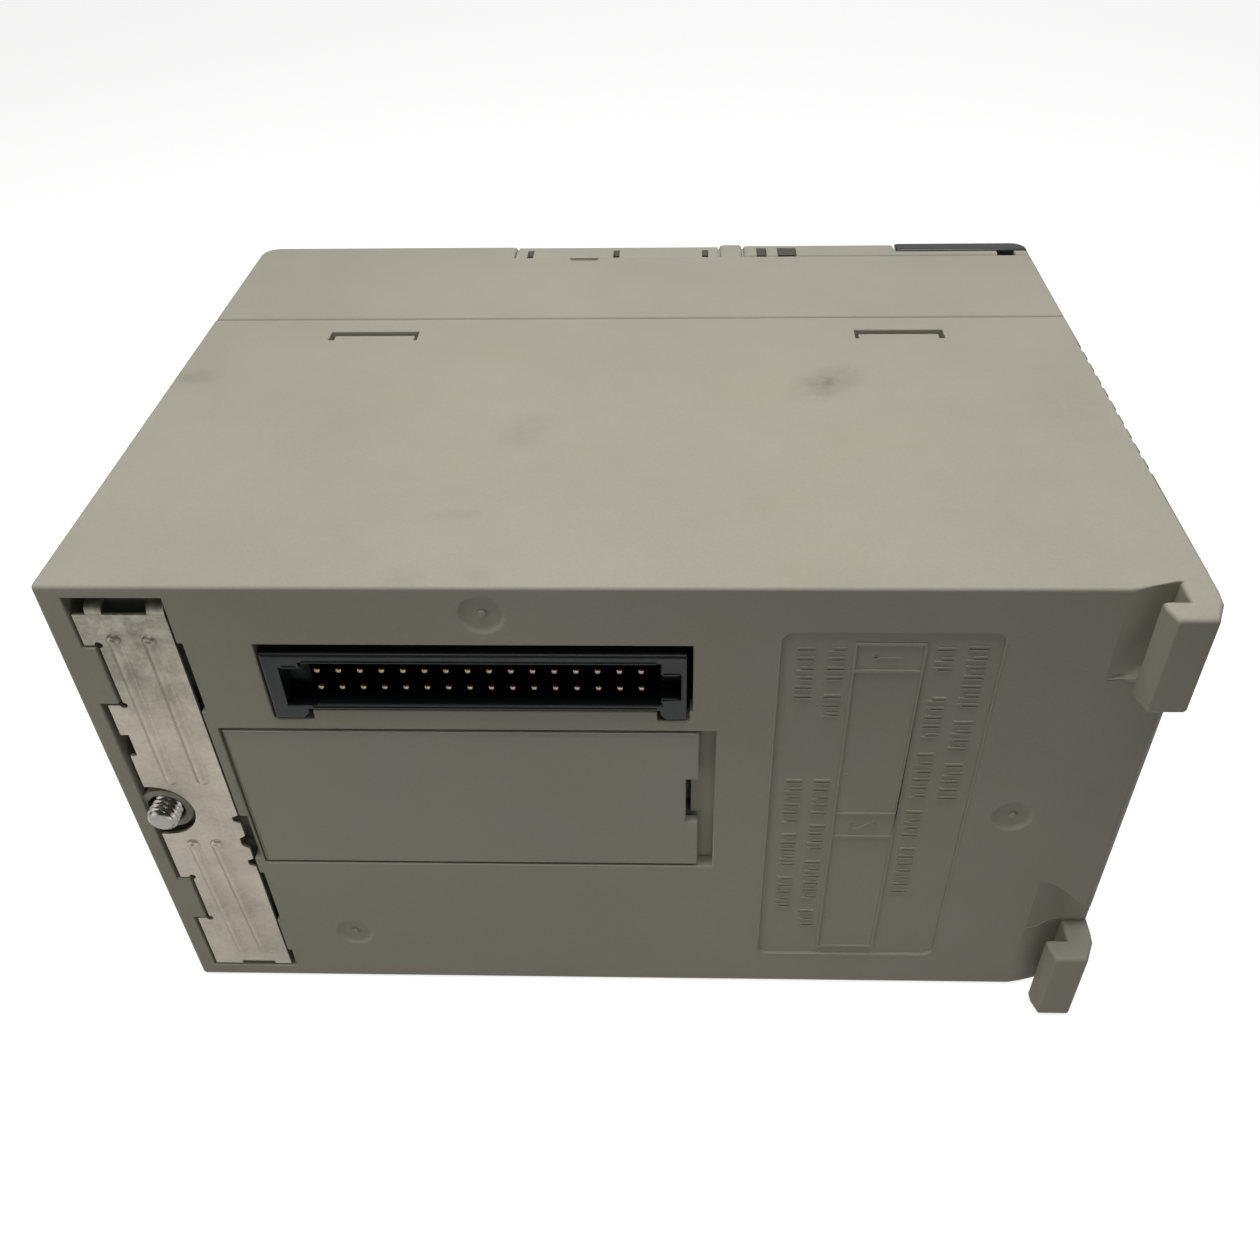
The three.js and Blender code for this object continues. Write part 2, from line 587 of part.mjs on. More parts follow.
// One foot of the shroud, with its corner towards the other foot taken off.
function shroudFoot([left, right], cornerOnRight) {
  const { y, z, footZ, footCorner } = SOCKET;
  const top = z[0] + PAST;
  const low = cornerOnRight
    ? [[left, footZ], [right - footCorner, footZ], [right, footZ + footCorner]]
    : [[left, footZ + footCorner], [left + footCorner, footZ], [right, footZ]];
  return alongDepth(outline([...low, [right, top], [left, top]]), [y[0], 6]);
}

function connectorShroud() {
  const { x, z, y, floor, cavityX, cavityZ, endX, endZ, endDepth, footX } = SOCKET;
  const { keyX, keyZ, stepZ, stepDepth } = SOCKET;
  const holes = PIN_SPOTS.map(([px, pz]) =>
    block(grow([px, px], PINS.hole / 2), [floor - PAST, y[1] + PAST], grow([pz, pz], PINS.hole / 2)));
  const shallow = [y[0] - PAST, endDepth];
  return cut(
    join(block(x, y, z), shroudFoot(footX[0], true), shroudFoot(footX[1], false)),
    block(cavityX, [y[0] - PAST, floor], cavityZ),
    block([endX, cavityX[0] + PAST], shallow, endZ),
    block([cavityX[1] - PAST, keyX], shallow, keyZ),
    block(grow(x, PAST), [y[0] - PAST, stepDepth], [stepZ, z[1] + PAST]),
    ...holes,
  );
}

// One square pin with a pointed tip, from its tip in the socket to its tail at the board.
function pin([x, z]) {
  const half = PINS.size / 2;
  const reach = half * Math.SQRT2;
  const tail = PLUG_BOARD.y - GAP;
  const taper = 0.8;
  const profile = [
    [0, PINS.tip], [reach * 0.4, PINS.tip], [reach, PINS.tip + taper], [reach, tail], [0, tail],
  ];
  const points = profile.map(([r, y]) => new THREE.Vector2(r, y));
  return solidOf(new THREE.LatheGeometry(points, 4, Math.PI / 4).translate(x, 0, z));
}

function connectorPins() {
  const carrier = block(grow(SOCKET.cavityX, 1), CARRIER, grow(PINS.rows, 1.4));
  return join(carrier, ...PIN_SPOTS.map(pin));
}

function batteryCover() {
  const { x, z, y, notchX, notchZ } = COVER;
  const { mouthZ } = BATTERY_BAY;
  const plate = cut(block(x, y, z), block([notchX, x[1] + PAST], grow(y, PAST), notchZ));
  const feet = COVER_FOOT.x.flatMap((at) => {
    const span = [at, at + COVER_FOOT.length];
    const legs = [[mouthZ[0] + GAP, mouthZ[0] + 1.5], [mouthZ[1] - 1.5, mouthZ[1] - GAP]];
    const toes = legs.map(([low, high], side) =>
      side ? [low, mouthZ[1] + COVER_FOOT.reach] : [mouthZ[0] - COVER_FOOT.reach, high]);
    return [
      ...legs.map((leg) => block(span, [y[1] - 0.5, COVER_FOOT.y[1]], leg)),
      ...toes.map((toe) => block(span, COVER_FOOT.y, toe)),
    ];
  });
  return join(plate, ...feet);
}

// ---------------------------------------------------------------- battery

const BATTERY_SOCKET = { x: [62, 70], z: [34, 44], y: [16.5, 21.7] };
const BATTERY_PLUG = { x: [62.6, 69.4], z: [34.8, 43.2], y: [9, 16.2] };

function batteryCell() {
  const { x, y, z, radius } = CELL;
  const body = rodX([x[0] + 1, x[1]], y, z, radius, FINE);
  const tip = rodX([x[0], x[0] + 1 + PAST], y, z, radius * 0.45, COARSE);
  return join(body, tip);
}

// A pair of insulated wires from the end of the cell to the back of the plug.
function batteryLead() {
  const start = CELL.x[1] + GAP;
  const path = new THREE.CatmullRomCurve3([
    new THREE.Vector3(start, CELL.y, CELL.z),
    new THREE.Vector3(start + 1.6, CELL.y, CELL.z),
    new THREE.Vector3(start + 3.6, CELL.y - 3, CELL.z - 0.3),
    new THREE.Vector3(start + 5.8, 5.6, CELL.z - 0.3),
    new THREE.Vector3(mid(BATTERY_PLUG.x), 5.6, CELL.z),
    new THREE.Vector3(mid(BATTERY_PLUG.x), BATTERY_PLUG.y[0] - GAP, CELL.z),
  ]);
  const section = new THREE.Shape();
  section.absellipse(0, 0, 0.8, 1.3, 0, Math.PI * 2);
  return solidOf(new THREE.ExtrudeGeometry(section, { steps: 14, extrudePath: path, curveSegments: 5 }));
}

// ---------------------------------------------------------------- boards and what they carry

function circuitBoard({ x, y, z }, holes) {
  const span = [y, y + BOARD];
  const board = block(x, span, z);
  return holes ? cut(board, ...POSTS.map(([px, pz]) => rodY(px, pz, POST.hole, grow(span, PAST)))) : board;
}

function hexagon(x, z, radius, y) {
  return rodY(x, z, radius, y, 6);
}

function spacer([x, z]) {
  const body = hexagon(x, z, POST.hex, [MAIN_BOARD.y + BOARD + GAP, FACE_BOARD.y - GAP]);
  const stud = rodY(x, z, POST.stud, [POST.studEnd, MAIN_BOARD.y + BOARD + PAST]);
  return cut(join(body, stud), rodY(x, z, POST.hole, [POST.screwEnd - 1, FACE_BOARD.y]));
}

function boardScrew([x, z]) {
  const seat = FACE_BOARD.y + BOARD + GAP;
  const head = rodY(x, z, POST.head, [seat, POST.headTop]);
  const slot = block(grow([x, x], 2), [POST.headTop - 0.9, POST.headTop + PAST], grow([z, z], 0.4));
  return cut(join(head, rodY(x, z, POST.stud, [POST.screwEnd, seat + PAST])), slot);
}

const onMain = (height) => [MAIN_BOARD.y + BOARD + GAP, MAIN_BOARD.y + BOARD + GAP + height];
const onFace = (height) => [FACE_BOARD.y + BOARD + GAP, FACE_BOARD.y + BOARD + GAP + height];

function memoryCassette() {
  const { x, y, z } = CASSETTE;
  const grooves = [22, 25, 28].map((at) =>
    block([x[0] + 4, x[1] - 4], [y[1] - 0.6, y[1] + PAST], [at, at + 1.2]));
  const keyway = block([x[0] - PAST, x[0] + 1.2], [y[0] - PAST, y[1] - 3], [30, 33]);
  return cut(block(x, y, z), ...grooves, keyway);
}

function dipSwitchBody() {
  const slots = Array.from({ length: DIP.count }, (_, i) => {
    const x = DIP.first + i * DIP.pitch;
    return block(grow([x, x], 0.9), [DIP.y[1] - 1.6, DIP.y[1] + PAST], [56.6, 61]);
  });
  return cut(block(DIP.x, DIP.y, DIP.z), ...slots);
}

function dipLever(i) {
  const x = DIP.first + i * DIP.pitch;
  const foot = block(grow([x, x], 0.6), [DIP.y[1] - 1.3, DIP.y[1] + 0.2], [57, 59]);
  const grip = block(grow([x, x], 0.5), [DIP.y[1], DIP.y[1] + 1], [57.4, 58.6]);
  return join(foot, grip);
}

function peripheralConnector() {
  const { x, y, z, floor, wall } = PORT;
  const inside = block(grow(x, -wall), [floor, y[1] + PAST], grow(z, -wall));
  const keyZ = grow([mid(z), mid(z)], 2);
  const keyway = block([x[1] - wall - PAST, x[1] + PAST], [floor + 2, y[1] + PAST], keyZ);
  return cut(block(x, y, z), inside, keyway);
}

function ledLamp(z) {
  const y = onFace(3);
  return turned([[0, y[0]], [1.5, y[0]], [1.5, y[1] - 1], [1, y[1] - 0.3], [0, y[1]]], LEDS.x, z, 8);
}

function lightGuide() {
  const rods = LEDS.z.map((z) => rodY(LEDS.x, z, 1.4, [onFace(3)[1] + GAP, BEZEL.shelf - 0.2], 8));
  const bar = block(grow([LEDS.x, LEDS.x], 1.5), [84, 87], [LEDS.z[0] - 2, LEDS.z[3] + 2]);
  return join(bar, ...rods);
}

// ---------------------------------------------------------------- front ports

function dsubShell() {
  const [w, h] = DSUB.shell;
  const flangeY = [WELL.floor - WELL.wall - GAP - 1.5, WELL.floor - WELL.wall - GAP];
  const [fw, fh] = DSUB.flange;
  const flange = alongDepth(
    roundedRectangle(grow([DSUB.x, DSUB.x], fw / 2), grow([DSUB.z, DSUB.z], fh / 2), 1.5), flangeY);
  const skirt = alongDepth(dShape(w, h), [flangeY[0], DSUB.front]);
  const bore = alongDepth(dShape(w - 1, h - 1), [flangeY[0] - PAST, DSUB.front + PAST]);
  const holes = [-DSUB.jack, DSUB.jack].map((dx) => rodY(DSUB.x + dx, DSUB.z, 1.7, grow(flangeY, PAST)));
  return cut(join(flange, skirt), bore, ...holes);
}

function dsubInsert() {
  const [w, h] = DSUB.shell;
  const body = alongDepth(dShape(w - 1 - 2 * GAP, h - 1 - 2 * GAP), [onFace(0)[0], DSUB.front - 0.4]);
  const rows = [[5, 1.42], [4, -1.42]];
  const contacts = rows.flatMap(([count, dz]) => Array.from({ length: count }, (_, i) => {
    const x = DSUB.x + (i - (count - 1) / 2) * 2.77;
    return rodY(x, DSUB.z + dz, 0.6, [DSUB.front - 3, DSUB.front + PAST], 8);
  }));
  return cut(body, ...contacts);
}

function dsubJack(dx) {
  const x = DSUB.x + dx;
  const hex = hexagon(x, DSUB.z, 2.7, [WELL.floor + GAP, DSUB.front + 1]);
  const stud = rodY(x, DSUB.z, 1.35, [84, WELL.floor + PAST]);
  const thread = rodY(x, DSUB.z, 1.3, [DSUB.front - 2, DSUB.front + 2]);
  return cut(join(hex, stud), thread);
}

function optionCover() {
  const { x, z, skin } = OPTION_COVER;
  const { face } = FRONT;
  const plate = block(x, [face - skin, face], z);
  const legs = [[x[0] + 4, x[0] + 8], [x[1] - 8, x[1] - 4]].flatMap((at) =>
    [[z[0] + 0.6, z[0] + 1.8], [z[1] - 1.8, z[1] - 0.6]].map((leg) => block(at, [face - 7, face - 1], leg)));
  const grip = block([mid(x) - 6, mid(x) + 6], [face - 0.7, face + PAST], [z[0] + 2, z[0] + 4]);
  return cut(join(plate, ...legs), grip);
}

// ---------------------------------------------------------------- front covers

// A quarter-round at the hinge edge, so that the door's corner turns clear of the shell.
function roundedHingeEdge(edgeA, edgeB, farA, farB, radius) {
  const shape = new THREE.Shape();
  shape.moveTo(edgeA, farB);
  shape.lineTo(edgeA, edgeB - radius);
  shape.absarc(edgeA + radius, edgeB - radius, radius, Math.PI, Math.PI / 2, true);
  shape.lineTo(farA, edgeB);
  shape.lineTo(farA, farB);
  return shape;
}

// The door over the memory cassette and the switches, hinged along its left edge.
function memoryDoor() {
  const { x, z, skin, wall, axisY, axisZ, pin } = DOOR;
  const { face, step } = FRONT;
  const profile = roundedHingeEdge(z[0], face, z[1], step + GAP, axisZ - z[0]);
  const settings = { depth: size(x), bevelEnabled: false, curveSegments: 5 };
  const geometry = new THREE.ExtrudeGeometry(profile, settings);
  // The profile's own axes are Z and Y of the module, and it is extruded along X.
  geometry.applyMatrix4(new THREE.Matrix4().set(0, 0, -1, x[1], 0, 1, 0, 0, 1, 0, 0, 0, 0, 0, 0, 1));
  const slab = solidOf(geometry);
  const hollow = block(grow(x, -wall), [step - PAST, face - skin], [z[0] + 4, z[1] - wall]);
  const hingeRelief = block(grow(x, PAST), [step - PAST, 94.5], [z[0] - PAST, z[0] + 4 + PAST]);
  const slots = DOOR.slots.map((at) =>
    block(grow([at, at], 0.5), [step - PAST, face - 1.2], [z[1] - wall - PAST, z[1] + PAST]));
  const pins = rodX(grow(x, 0.9), axisY, axisZ, pin);
  return join(cut(slab, hollow, hingeRelief, ...slots), pins);
}

function indicatorBezel() {
  const { x, skin, shelf, shelfStart } = BEZEL;
  const { face, step } = FRONT;
  const { width } = CASE;
  const base = step + GAP;
  const slotDepth = 3;
  const shape = outline([
    [x[0], base], [x[1], base], [x[1], shelf], [shelfStart, shelf], [shelfStart, face], [x[0], face],
  ]);
  const sideSlots = [[84.6, 86.2], [88.1, 91.2]].flatMap((at) =>
    [[-PAST, slotDepth], [width - slotDepth, width + PAST]].map((z) =>
      block(at, [base - PAST, face - 1.2], z)));
  const pinHole = rodZ(PORT_DOOR.axisX, PORT_DOOR.axisY, grow(PORT_DOOR.z, 1.2), PORT_DOOR.pin + GAP);
  return cut(
    acrossWidth(shape, [0, width], CASE.edge),
    block([x[0] + 2, shelfStart - 2], [base - PAST, face - skin], [2, width - 2]),
    block(grow(PORT_DOOR.x, GAP), [face - skin - PAST, face + PAST], grow(PORT_DOOR.z, GAP)),
    ...LEDS.z.map((z) => rodY(LEDS.x, z, 1.8, [base - PAST, shelf + PAST])),
    block([124.7, 127.6], [base - PAST, shelf + PAST], [width - slotDepth, width + PAST]),
    ...sideSlots,
    pinHole,
  );
}

function indicatorWindow() {
  const { shelf, shelfStart } = BEZEL;
  const { nameplate } = FRONT;
  const top = CASE.height;
  const round = 2.4;
  const shape = new THREE.Shape();
  shape.moveTo(shelfStart + GAP, shelf + GAP);
  shape.lineTo(top, shelf + GAP);
  shape.lineTo(top, nameplate - round);
  shape.absarc(top - round, nameplate - round, round, 0, Math.PI / 2);
  shape.lineTo(shelfStart + GAP, nameplate);
  return acrossWidth(shape, [0, CASE.width], 0.4);
}

// The small cover over the peripheral port, hinged along its lower edge.
function portDoor() {
  const { x, y, z, axisX, axisY, pin } = PORT_DOOR;
  const profile = roundedHingeEdge(x[0], y[1], x[1], y[0], axisX - x[0]);
  const grip = block([x[1] - 3, x[1] - 1.8], [y[1] - 0.6, y[1] + PAST], grow(z, -6));
  return join(cut(acrossWidth(profile, z), grip), rodZ(axisX, axisY, grow(z, 0.8), pin));
}

// ---------------------------------------------------------------- the module

piece('rear_case', rearCase(), BEIGE);
piece('front_case', frontCase(), BEIGE);
piece('ground_plate', groundPlate(), TIN);
piece('mounting_screw', mountingScrew(), NICKEL);
piece('screw_ring', ring(SCREW.x, SCREW.z, RING.inner, RING.outer, RING.y), NICKEL);
piece('connector_shroud', connectorShroud(), BLACK);
piece('connector_pins', connectorPins(), GOLD);
piece('battery_cover', batteryCover(), BEIGE_DOOR);
piece('battery_cell', batteryCell(), CELL_WRAP);
piece('battery_lead', batteryLead(), LEAD_RED);
piece('battery_plug', block(BATTERY_PLUG.x, BATTERY_PLUG.y, BATTERY_PLUG.z), WHITE);
piece('battery_socket', block(BATTERY_SOCKET.x, BATTERY_SOCKET.y, BATTERY_SOCKET.z), WHITE);

piece('connector_board', circuitBoard(PLUG_BOARD, false), GREEN_BOARD);
const RISER = block([26, 70], [PLUG_BOARD.y + BOARD + GAP, MAIN_BOARD.y - GAP], [60, 60 + BOARD]);
piece('riser_board', RISER, GREEN_BOARD);
piece('main_board', circuitBoard(MAIN_BOARD, true), GREEN_BOARD);
piece('interface_board', circuitBoard(FACE_BOARD, true), GREEN_BOARD);
piece('stacking_header', block([60, 110], [MAIN_BOARD.y + BOARD + GAP, FACE_BOARD.y - GAP], [62, 67]), BLACK);
POSTS.forEach((at, i) => piece(`board_spacer_${i + 1}`, spacer(at), NICKEL));
POSTS.forEach((at, i) => piece(`board_screw_${i + 1}`, boardScrew(at), NICKEL));

piece('cpu_chip', block([60, 88], onMain(3), [14, 42]), CHIP);
piece('logic_chip', block([94, 116], onMain(2.8), [18, 40]), CHIP);
piece('memory_chip_1', block([60, 78], onMain(2.5), [47, 55]), CHIP);
piece('memory_chip_2', block([84, 102], onMain(2.5), [47, 55]), CHIP);
piece('crystal', block([44, 55], onMain(3.6), [48, 52.6]), NICKEL);
piece('capacitor', rodY(30, 25, 5, onMain(16), 20), CHIP);

piece('memory_socket', block([51, 75], [onFace(0)[0], CASSETTE.y[0] - GAP], [29, 35]), BLACK);
piece('memory_cassette', memoryCassette(), CHIP);
piece('dip_switch_body', dipSwitchBody(), BLACK);
for (let i = 0; i < DIP.count; i++) piece(`dip_lever_${i + 1}`, dipLever(i), WHITE);
piece('peripheral_connector', peripheralConnector(), BLACK);
piece('option_socket', block([12, 32], onFace(9), [12, 20]), BLACK);
piece('option_cover', optionCover(), BEIGE_DOOR);
piece('dsub_shell', dsubShell(), NICKEL);
piece('dsub_insert', dsubInsert(), BLACK);
[-DSUB.jack, DSUB.jack].forEach((dx, i) => piece(`dsub_jack_${i + 1}`, dsubJack(dx), NICKEL));

LEDS.z.forEach((z, i) => piece(`indicator_led_${i + 1}`, ledLamp(z), i === 1 ? LED_RED : LED_GREEN));
piece('light_guide', lightGuide(), CLEAR);
piece('indicator_bezel', indicatorBezel(), BEIGE);
piece('indicator_window', indicatorWindow(), SMOKE);
piece('port_door', portDoor(), BEIGE_DOOR);
piece('memory_door', memoryDoor(), BEIGE_DOOR);

module.position.set(-CASE.height / 2, -(HOOK.reach + FRONT.nameplate) / 2, 0);
const root = new THREE.Group();
root.add(module);

export default root;
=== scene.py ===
"""Looks of a rack-mounted controller module that lies on its left side, seen from its rear.

Sizes in this script are millimetres of the unit itself: X up the unit from its lower end, Y from the
rear face to the front, Z across the width from the left side. `place` turns them into the frame.
"""

import json
import math

import bmesh
import bpy
from mathutils import Matrix, Vector
from mathutils.geometry import intersect_point_line


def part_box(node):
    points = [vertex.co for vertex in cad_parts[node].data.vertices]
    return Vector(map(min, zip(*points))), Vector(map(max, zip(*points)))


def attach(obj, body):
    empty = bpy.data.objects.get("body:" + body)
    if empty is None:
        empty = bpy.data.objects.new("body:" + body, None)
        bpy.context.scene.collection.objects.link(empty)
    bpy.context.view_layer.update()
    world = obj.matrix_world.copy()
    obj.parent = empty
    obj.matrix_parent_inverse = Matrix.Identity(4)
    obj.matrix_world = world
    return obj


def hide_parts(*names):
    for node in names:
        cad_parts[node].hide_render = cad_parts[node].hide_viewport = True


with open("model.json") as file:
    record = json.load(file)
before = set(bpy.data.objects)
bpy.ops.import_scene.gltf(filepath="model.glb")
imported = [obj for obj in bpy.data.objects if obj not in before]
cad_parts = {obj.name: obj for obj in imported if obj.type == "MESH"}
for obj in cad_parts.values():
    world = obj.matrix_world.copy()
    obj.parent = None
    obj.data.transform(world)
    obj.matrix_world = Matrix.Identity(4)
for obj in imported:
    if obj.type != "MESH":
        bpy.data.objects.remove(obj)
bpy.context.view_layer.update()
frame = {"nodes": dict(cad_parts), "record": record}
nodes = frame["nodes"]

MM = 0.001
HOOK_REACH = 5.3
shell_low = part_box("rear_case")[0]
UNIT_ORIGIN = Vector((shell_low.x, shell_low.y + HOOK_REACH * MM, shell_low.z))
TO_FRAME = Matrix.Translation(UNIT_ORIGIN) @ Matrix.Scale(MM, 4)
TO_UNIT = TO_FRAME.inverted()


def place(x, y, z):
    return TO_FRAME @ Vector((x, y, z))


# ------------------------------------------------------------------ camera, floor and lights

CAMERA = {
    "spot": (72.229, -102.508, 149.662),
    "azimuth": -2.243,
    "elevation": 41.43,
    "roll": -1.208,
    "lens": 33.516,
    "shift": (-0.01338, 0.04247),
}
NEUTRAL = (1.0, 1.0, 1.0)
WARM = (1.0, 0.985, 0.93)
# Name, place, target and size in metres, power in watts, colour, and whether the camera sees it.
LIGHTS = [
    ("key", (0.0, 0.03, 0.40), (0.0, 0.0, 0.073), (0.3, 0.2), 0.87, NEUTRAL, True),
    ("near_key", (0.0, -0.10, 0.40), (0.0, -0.06, 0.073), (0.3, 0.08), 0.48, NEUTRAL, True),
    ("left_card", (-0.17, -0.15, 0.06), (-0.03, -0.05, 0.04), (0.08, 0.08), 0.053, WARM, False),
    ("low_card", (0.02, -0.15, 0.008), (0.02, -0.05, 0.02), (0.14, 0.016), 0.022, WARM, False),
    ("front_fill", (0.1, 0.9, 0.5), (0, 0, 0.04), (0.8, 0.6), 0.6, NEUTRAL, True),
]
SKY, TABLE_SHADE = 0.08, 0.02
HORIZON_BLUR = 0.15
FLOOR_HALF_SIZE, FLOOR_BELOW, FLOOR_GLOW = 3.0, 0.0002, 0.8


def make_camera():
    azimuth, elevation, roll = (math.radians(CAMERA[k]) for k in ("azimuth", "elevation", "roll"))
    forward = Vector((
        math.sin(azimuth) * math.cos(elevation),
        math.cos(azimuth) * math.cos(elevation),
        -math.sin(elevation),
    ))
    level = forward.cross(Vector((0, 0, 1))).normalized()
    upright = level.cross(forward)
    right = level * math.cos(roll) + upright * math.sin(roll)
    up = upright * math.cos(roll) - level * math.sin(roll)
    data = bpy.data.cameras.new("camera")
    data.sensor_width = 36
    data.lens = CAMERA["lens"]
    data.shift_x, data.shift_y = CAMERA["shift"]
    data.clip_start = 0.005
    camera = bpy.data.objects.new("camera", data)
    turn = Matrix((right, up, -forward)).transposed().to_4x4()
    camera.matrix_world = Matrix.Translation(place(*CAMERA["spot"])) @ turn
    bpy.context.scene.collection.objects.link(camera)
    bpy.context.scene.camera = camera


def make_lights():
    for name, spot, target, size, power, colour, seen in LIGHTS:
        data = bpy.data.lights.new(name, "AREA")
        data.shape = "RECTANGLE"
        data.size, data.size_y = size
        data.energy = power
        data.color = colour
        light = bpy.data.objects.new(name, data)
        light.location = Vector(spot)
        aim = Vector(target) - light.location
        light.rotation_euler = aim.to_track_quat("-Z", "Y").to_euler()
        bpy.context.scene.collection.objects.link(light)
        light.visible_camera = seen


def make_world():
    """Even light: one strength from above the horizon, another from the table below."""
    world = bpy.data.worlds.new("studio")
    world.use_nodes = True
    tree = world.node_tree
    background = tree.nodes["Background"]
    background.inputs["Color"].default_value = (1.0, 0.985, 0.955, 1)
    direction = tree.nodes.new("ShaderNodeTexCoord").outputs["Generated"]
    parts = tree.nodes.new("ShaderNodeSeparateXYZ")
    blend = tree.nodes.new("ShaderNodeMapRange")
    blend.inputs["From Min"].default_value = -HORIZON_BLUR
    blend.inputs["From Max"].default_value = HORIZON_BLUR
    blend.inputs["To Min"].default_value = TABLE_SHADE
    blend.inputs["To Max"].default_value = SKY
    tree.links.new(direction, parts.inputs[0])
    tree.links.new(parts.outputs["Z"], blend.inputs["Value"])
    tree.links.new(blend.outputs[0], background.inputs["Strength"])
    bpy.context.scene.world = world


def make_floor():
    """A pale table. It glows a little, so that it stays pale out to the edge of the picture."""
    bm = bmesh.new()
    bmesh.ops.create_grid(bm, x_segments=6, y_segments=6, size=FLOOR_HALF_SIZE)
    data = bpy.data.meshes.new("floor")
    bm.to_mesh(data)
    bm.free()
    floor = bpy.data.objects.new("floor", data)
    floor.location.z = -FLOOR_BELOW
    floor.visible_diffuse = False
    bpy.context.scene.collection.objects.link(floor)
    paper = Finish("floor_paper")
    fibre = paper.noise(0.8, 3)
    paper.done(
        linear(196, 196, 196), 0.8, normal=paper.bump(fibre, 0.01),
        Emission_Color=(1, 1, 1, 1), Emission_Strength=FLOOR_GLOW)
    data.materials.append(paper.material)


# ------------------------------------------------------------------ materials

MOST_OF_NOISE = (0.3, 0.7)  # the band in which most values of a noise lie
TRACK_LENGTH = 5.08  # of a circuit board's tracks


class Finish:
    """A procedural material, built from noises in the coordinates of the object."""

    def __init__(self, name):
        self.material = bpy.data.materials.new(name)
        self.material.use_nodes = True
        self.tree = self.material.node_tree
        self.tree.nodes.clear()
        self.spot = self.add("ShaderNodeTexCoord").outputs["Object"]

    def add(self, kind, inputs=None, **settings):
        node = self.tree.nodes.new(kind)
        for key, value in settings.items():
            setattr(node, key, value)
        for key, value in (inputs or {}).items():
            self.put(node.inputs[key], value)
        return node

    def put(self, socket, value):
        if isinstance(value, bpy.types.NodeSocket):
            self.tree.links.new(value, socket)
        else:
            socket.default_value = value

    def noise(self, size_mm, detail=3, roughness=0.55, offset=0.0):
        """A noise with features of about size_mm. Noises with different offsets don't line up."""
        vector = self.spot
        if offset:
            mapping = self.add("ShaderNodeMapping", {"Vector": self.spot})
            mapping.inputs["Location"].default_value = (offset, offset * 1.7, -offset)
            vector = mapping.outputs[0]
        inputs = {"Vector": vector, "Scale": 1000 / size_mm, "Detail": detail, "Roughness": roughness}
        return self.add("ShaderNodeTexNoise", inputs).outputs[0]

    def calc(self, operation, a, b):
        return self.add("ShaderNodeMath", {0: a, 1: b}, operation=operation).outputs[0]

    def span(self, value, source, target, smooth=False):
        kind = "SMOOTHSTEP" if smooth else "LINEAR"
        inputs = {0: value, 1: source[0], 2: source[1], 3: target[0], 4: target[1]}
        return self.add("ShaderNodeMapRange", inputs, interpolation_type=kind).outputs[0]

    def vary(self, noise, low, high):
        """The noise, spread between two values."""
        return self.span(noise, MOST_OF_NOISE, (low, high))

    def mix(self, factor, a, b, blend="MIX"):
        inputs = {0: factor, 6: a, 7: b}
        return self.add("ShaderNodeMix", inputs, data_type="RGBA", blend_type=blend).outputs[2]

    def shade(self, colour, factor):
        """The colour, times a number that varies over the surface."""
        grey = self.add("ShaderNodeCombineColor", {0: factor, 1: factor, 2: factor}).outputs[0]
        return self.mix(1.0, colour, grey, "MULTIPLY")

    def bump(self, height, depth_mm):
        inputs = {"Strength": 1.0, "Distance": depth_mm * MM, "Height": height}
        return self.add("ShaderNodeBump", inputs).outputs[0]

    def near(self, centre, radii, turn=0.0):
        """1 at a spot of the unit, falling to 0 at its radii."""
        mapping = self.add("ShaderNodeMapping", {"Vector": self.spot}, vector_type="TEXTURE")
        mapping.inputs["Location"].default_value = place(*centre)
        mapping.inputs["Rotation"].default_value = (0, 0, math.radians(turn))
        mapping.inputs["Scale"].default_value = [r * MM for r in radii]
        length = self.add("ShaderNodeVectorMath", {0: mapping.outputs[0]}, operation="LENGTH")
        return self.span(length.outputs["Value"], (0, 1), (1, 0), smooth=True)

    def stained(self, value, marks):
        """The value, less a patchy mark for each centre, radii, turn and darkness."""
        for centre, radii, turn, dark in marks:
            patchy = self.span(self.noise(2.4, 4, 0.7, offset=1.1), (0.35, 0.6), (0.35, 1.0))
            mark = self.calc("MULTIPLY", self.near(centre, radii, turn), patchy)
            value = self.calc("SUBTRACT", value, self.calc("MULTIPLY", mark, dark))
        return value

    def done(self, colour, roughness, metallic=0.0, normal=None, **sockets):
        inputs = {"Base Color": colour, "Roughness": roughness, "Metallic": metallic}
        if normal is not None:
            inputs["Normal"] = normal
        for key, value in sockets.items():
            inputs[key.replace("_", " ")] = value
        shader = self.add("ShaderNodeBsdfPrincipled", inputs)
        output = self.add("ShaderNodeOutputMaterial", {"Surface": shader.outputs[0]})
        self.tree.nodes.active = output
        return self.material


def linear(red, green, blue):
    """The shader's colour for one given in the usual 0 to 255 steps."""
    shares = [step / 255 for step in (red, green, blue)]
    return tuple(c / 12.92 if c <= 0.04 else ((c + 0.055) / 1.055) ** 2.4 for c in shares) + (1.0,)


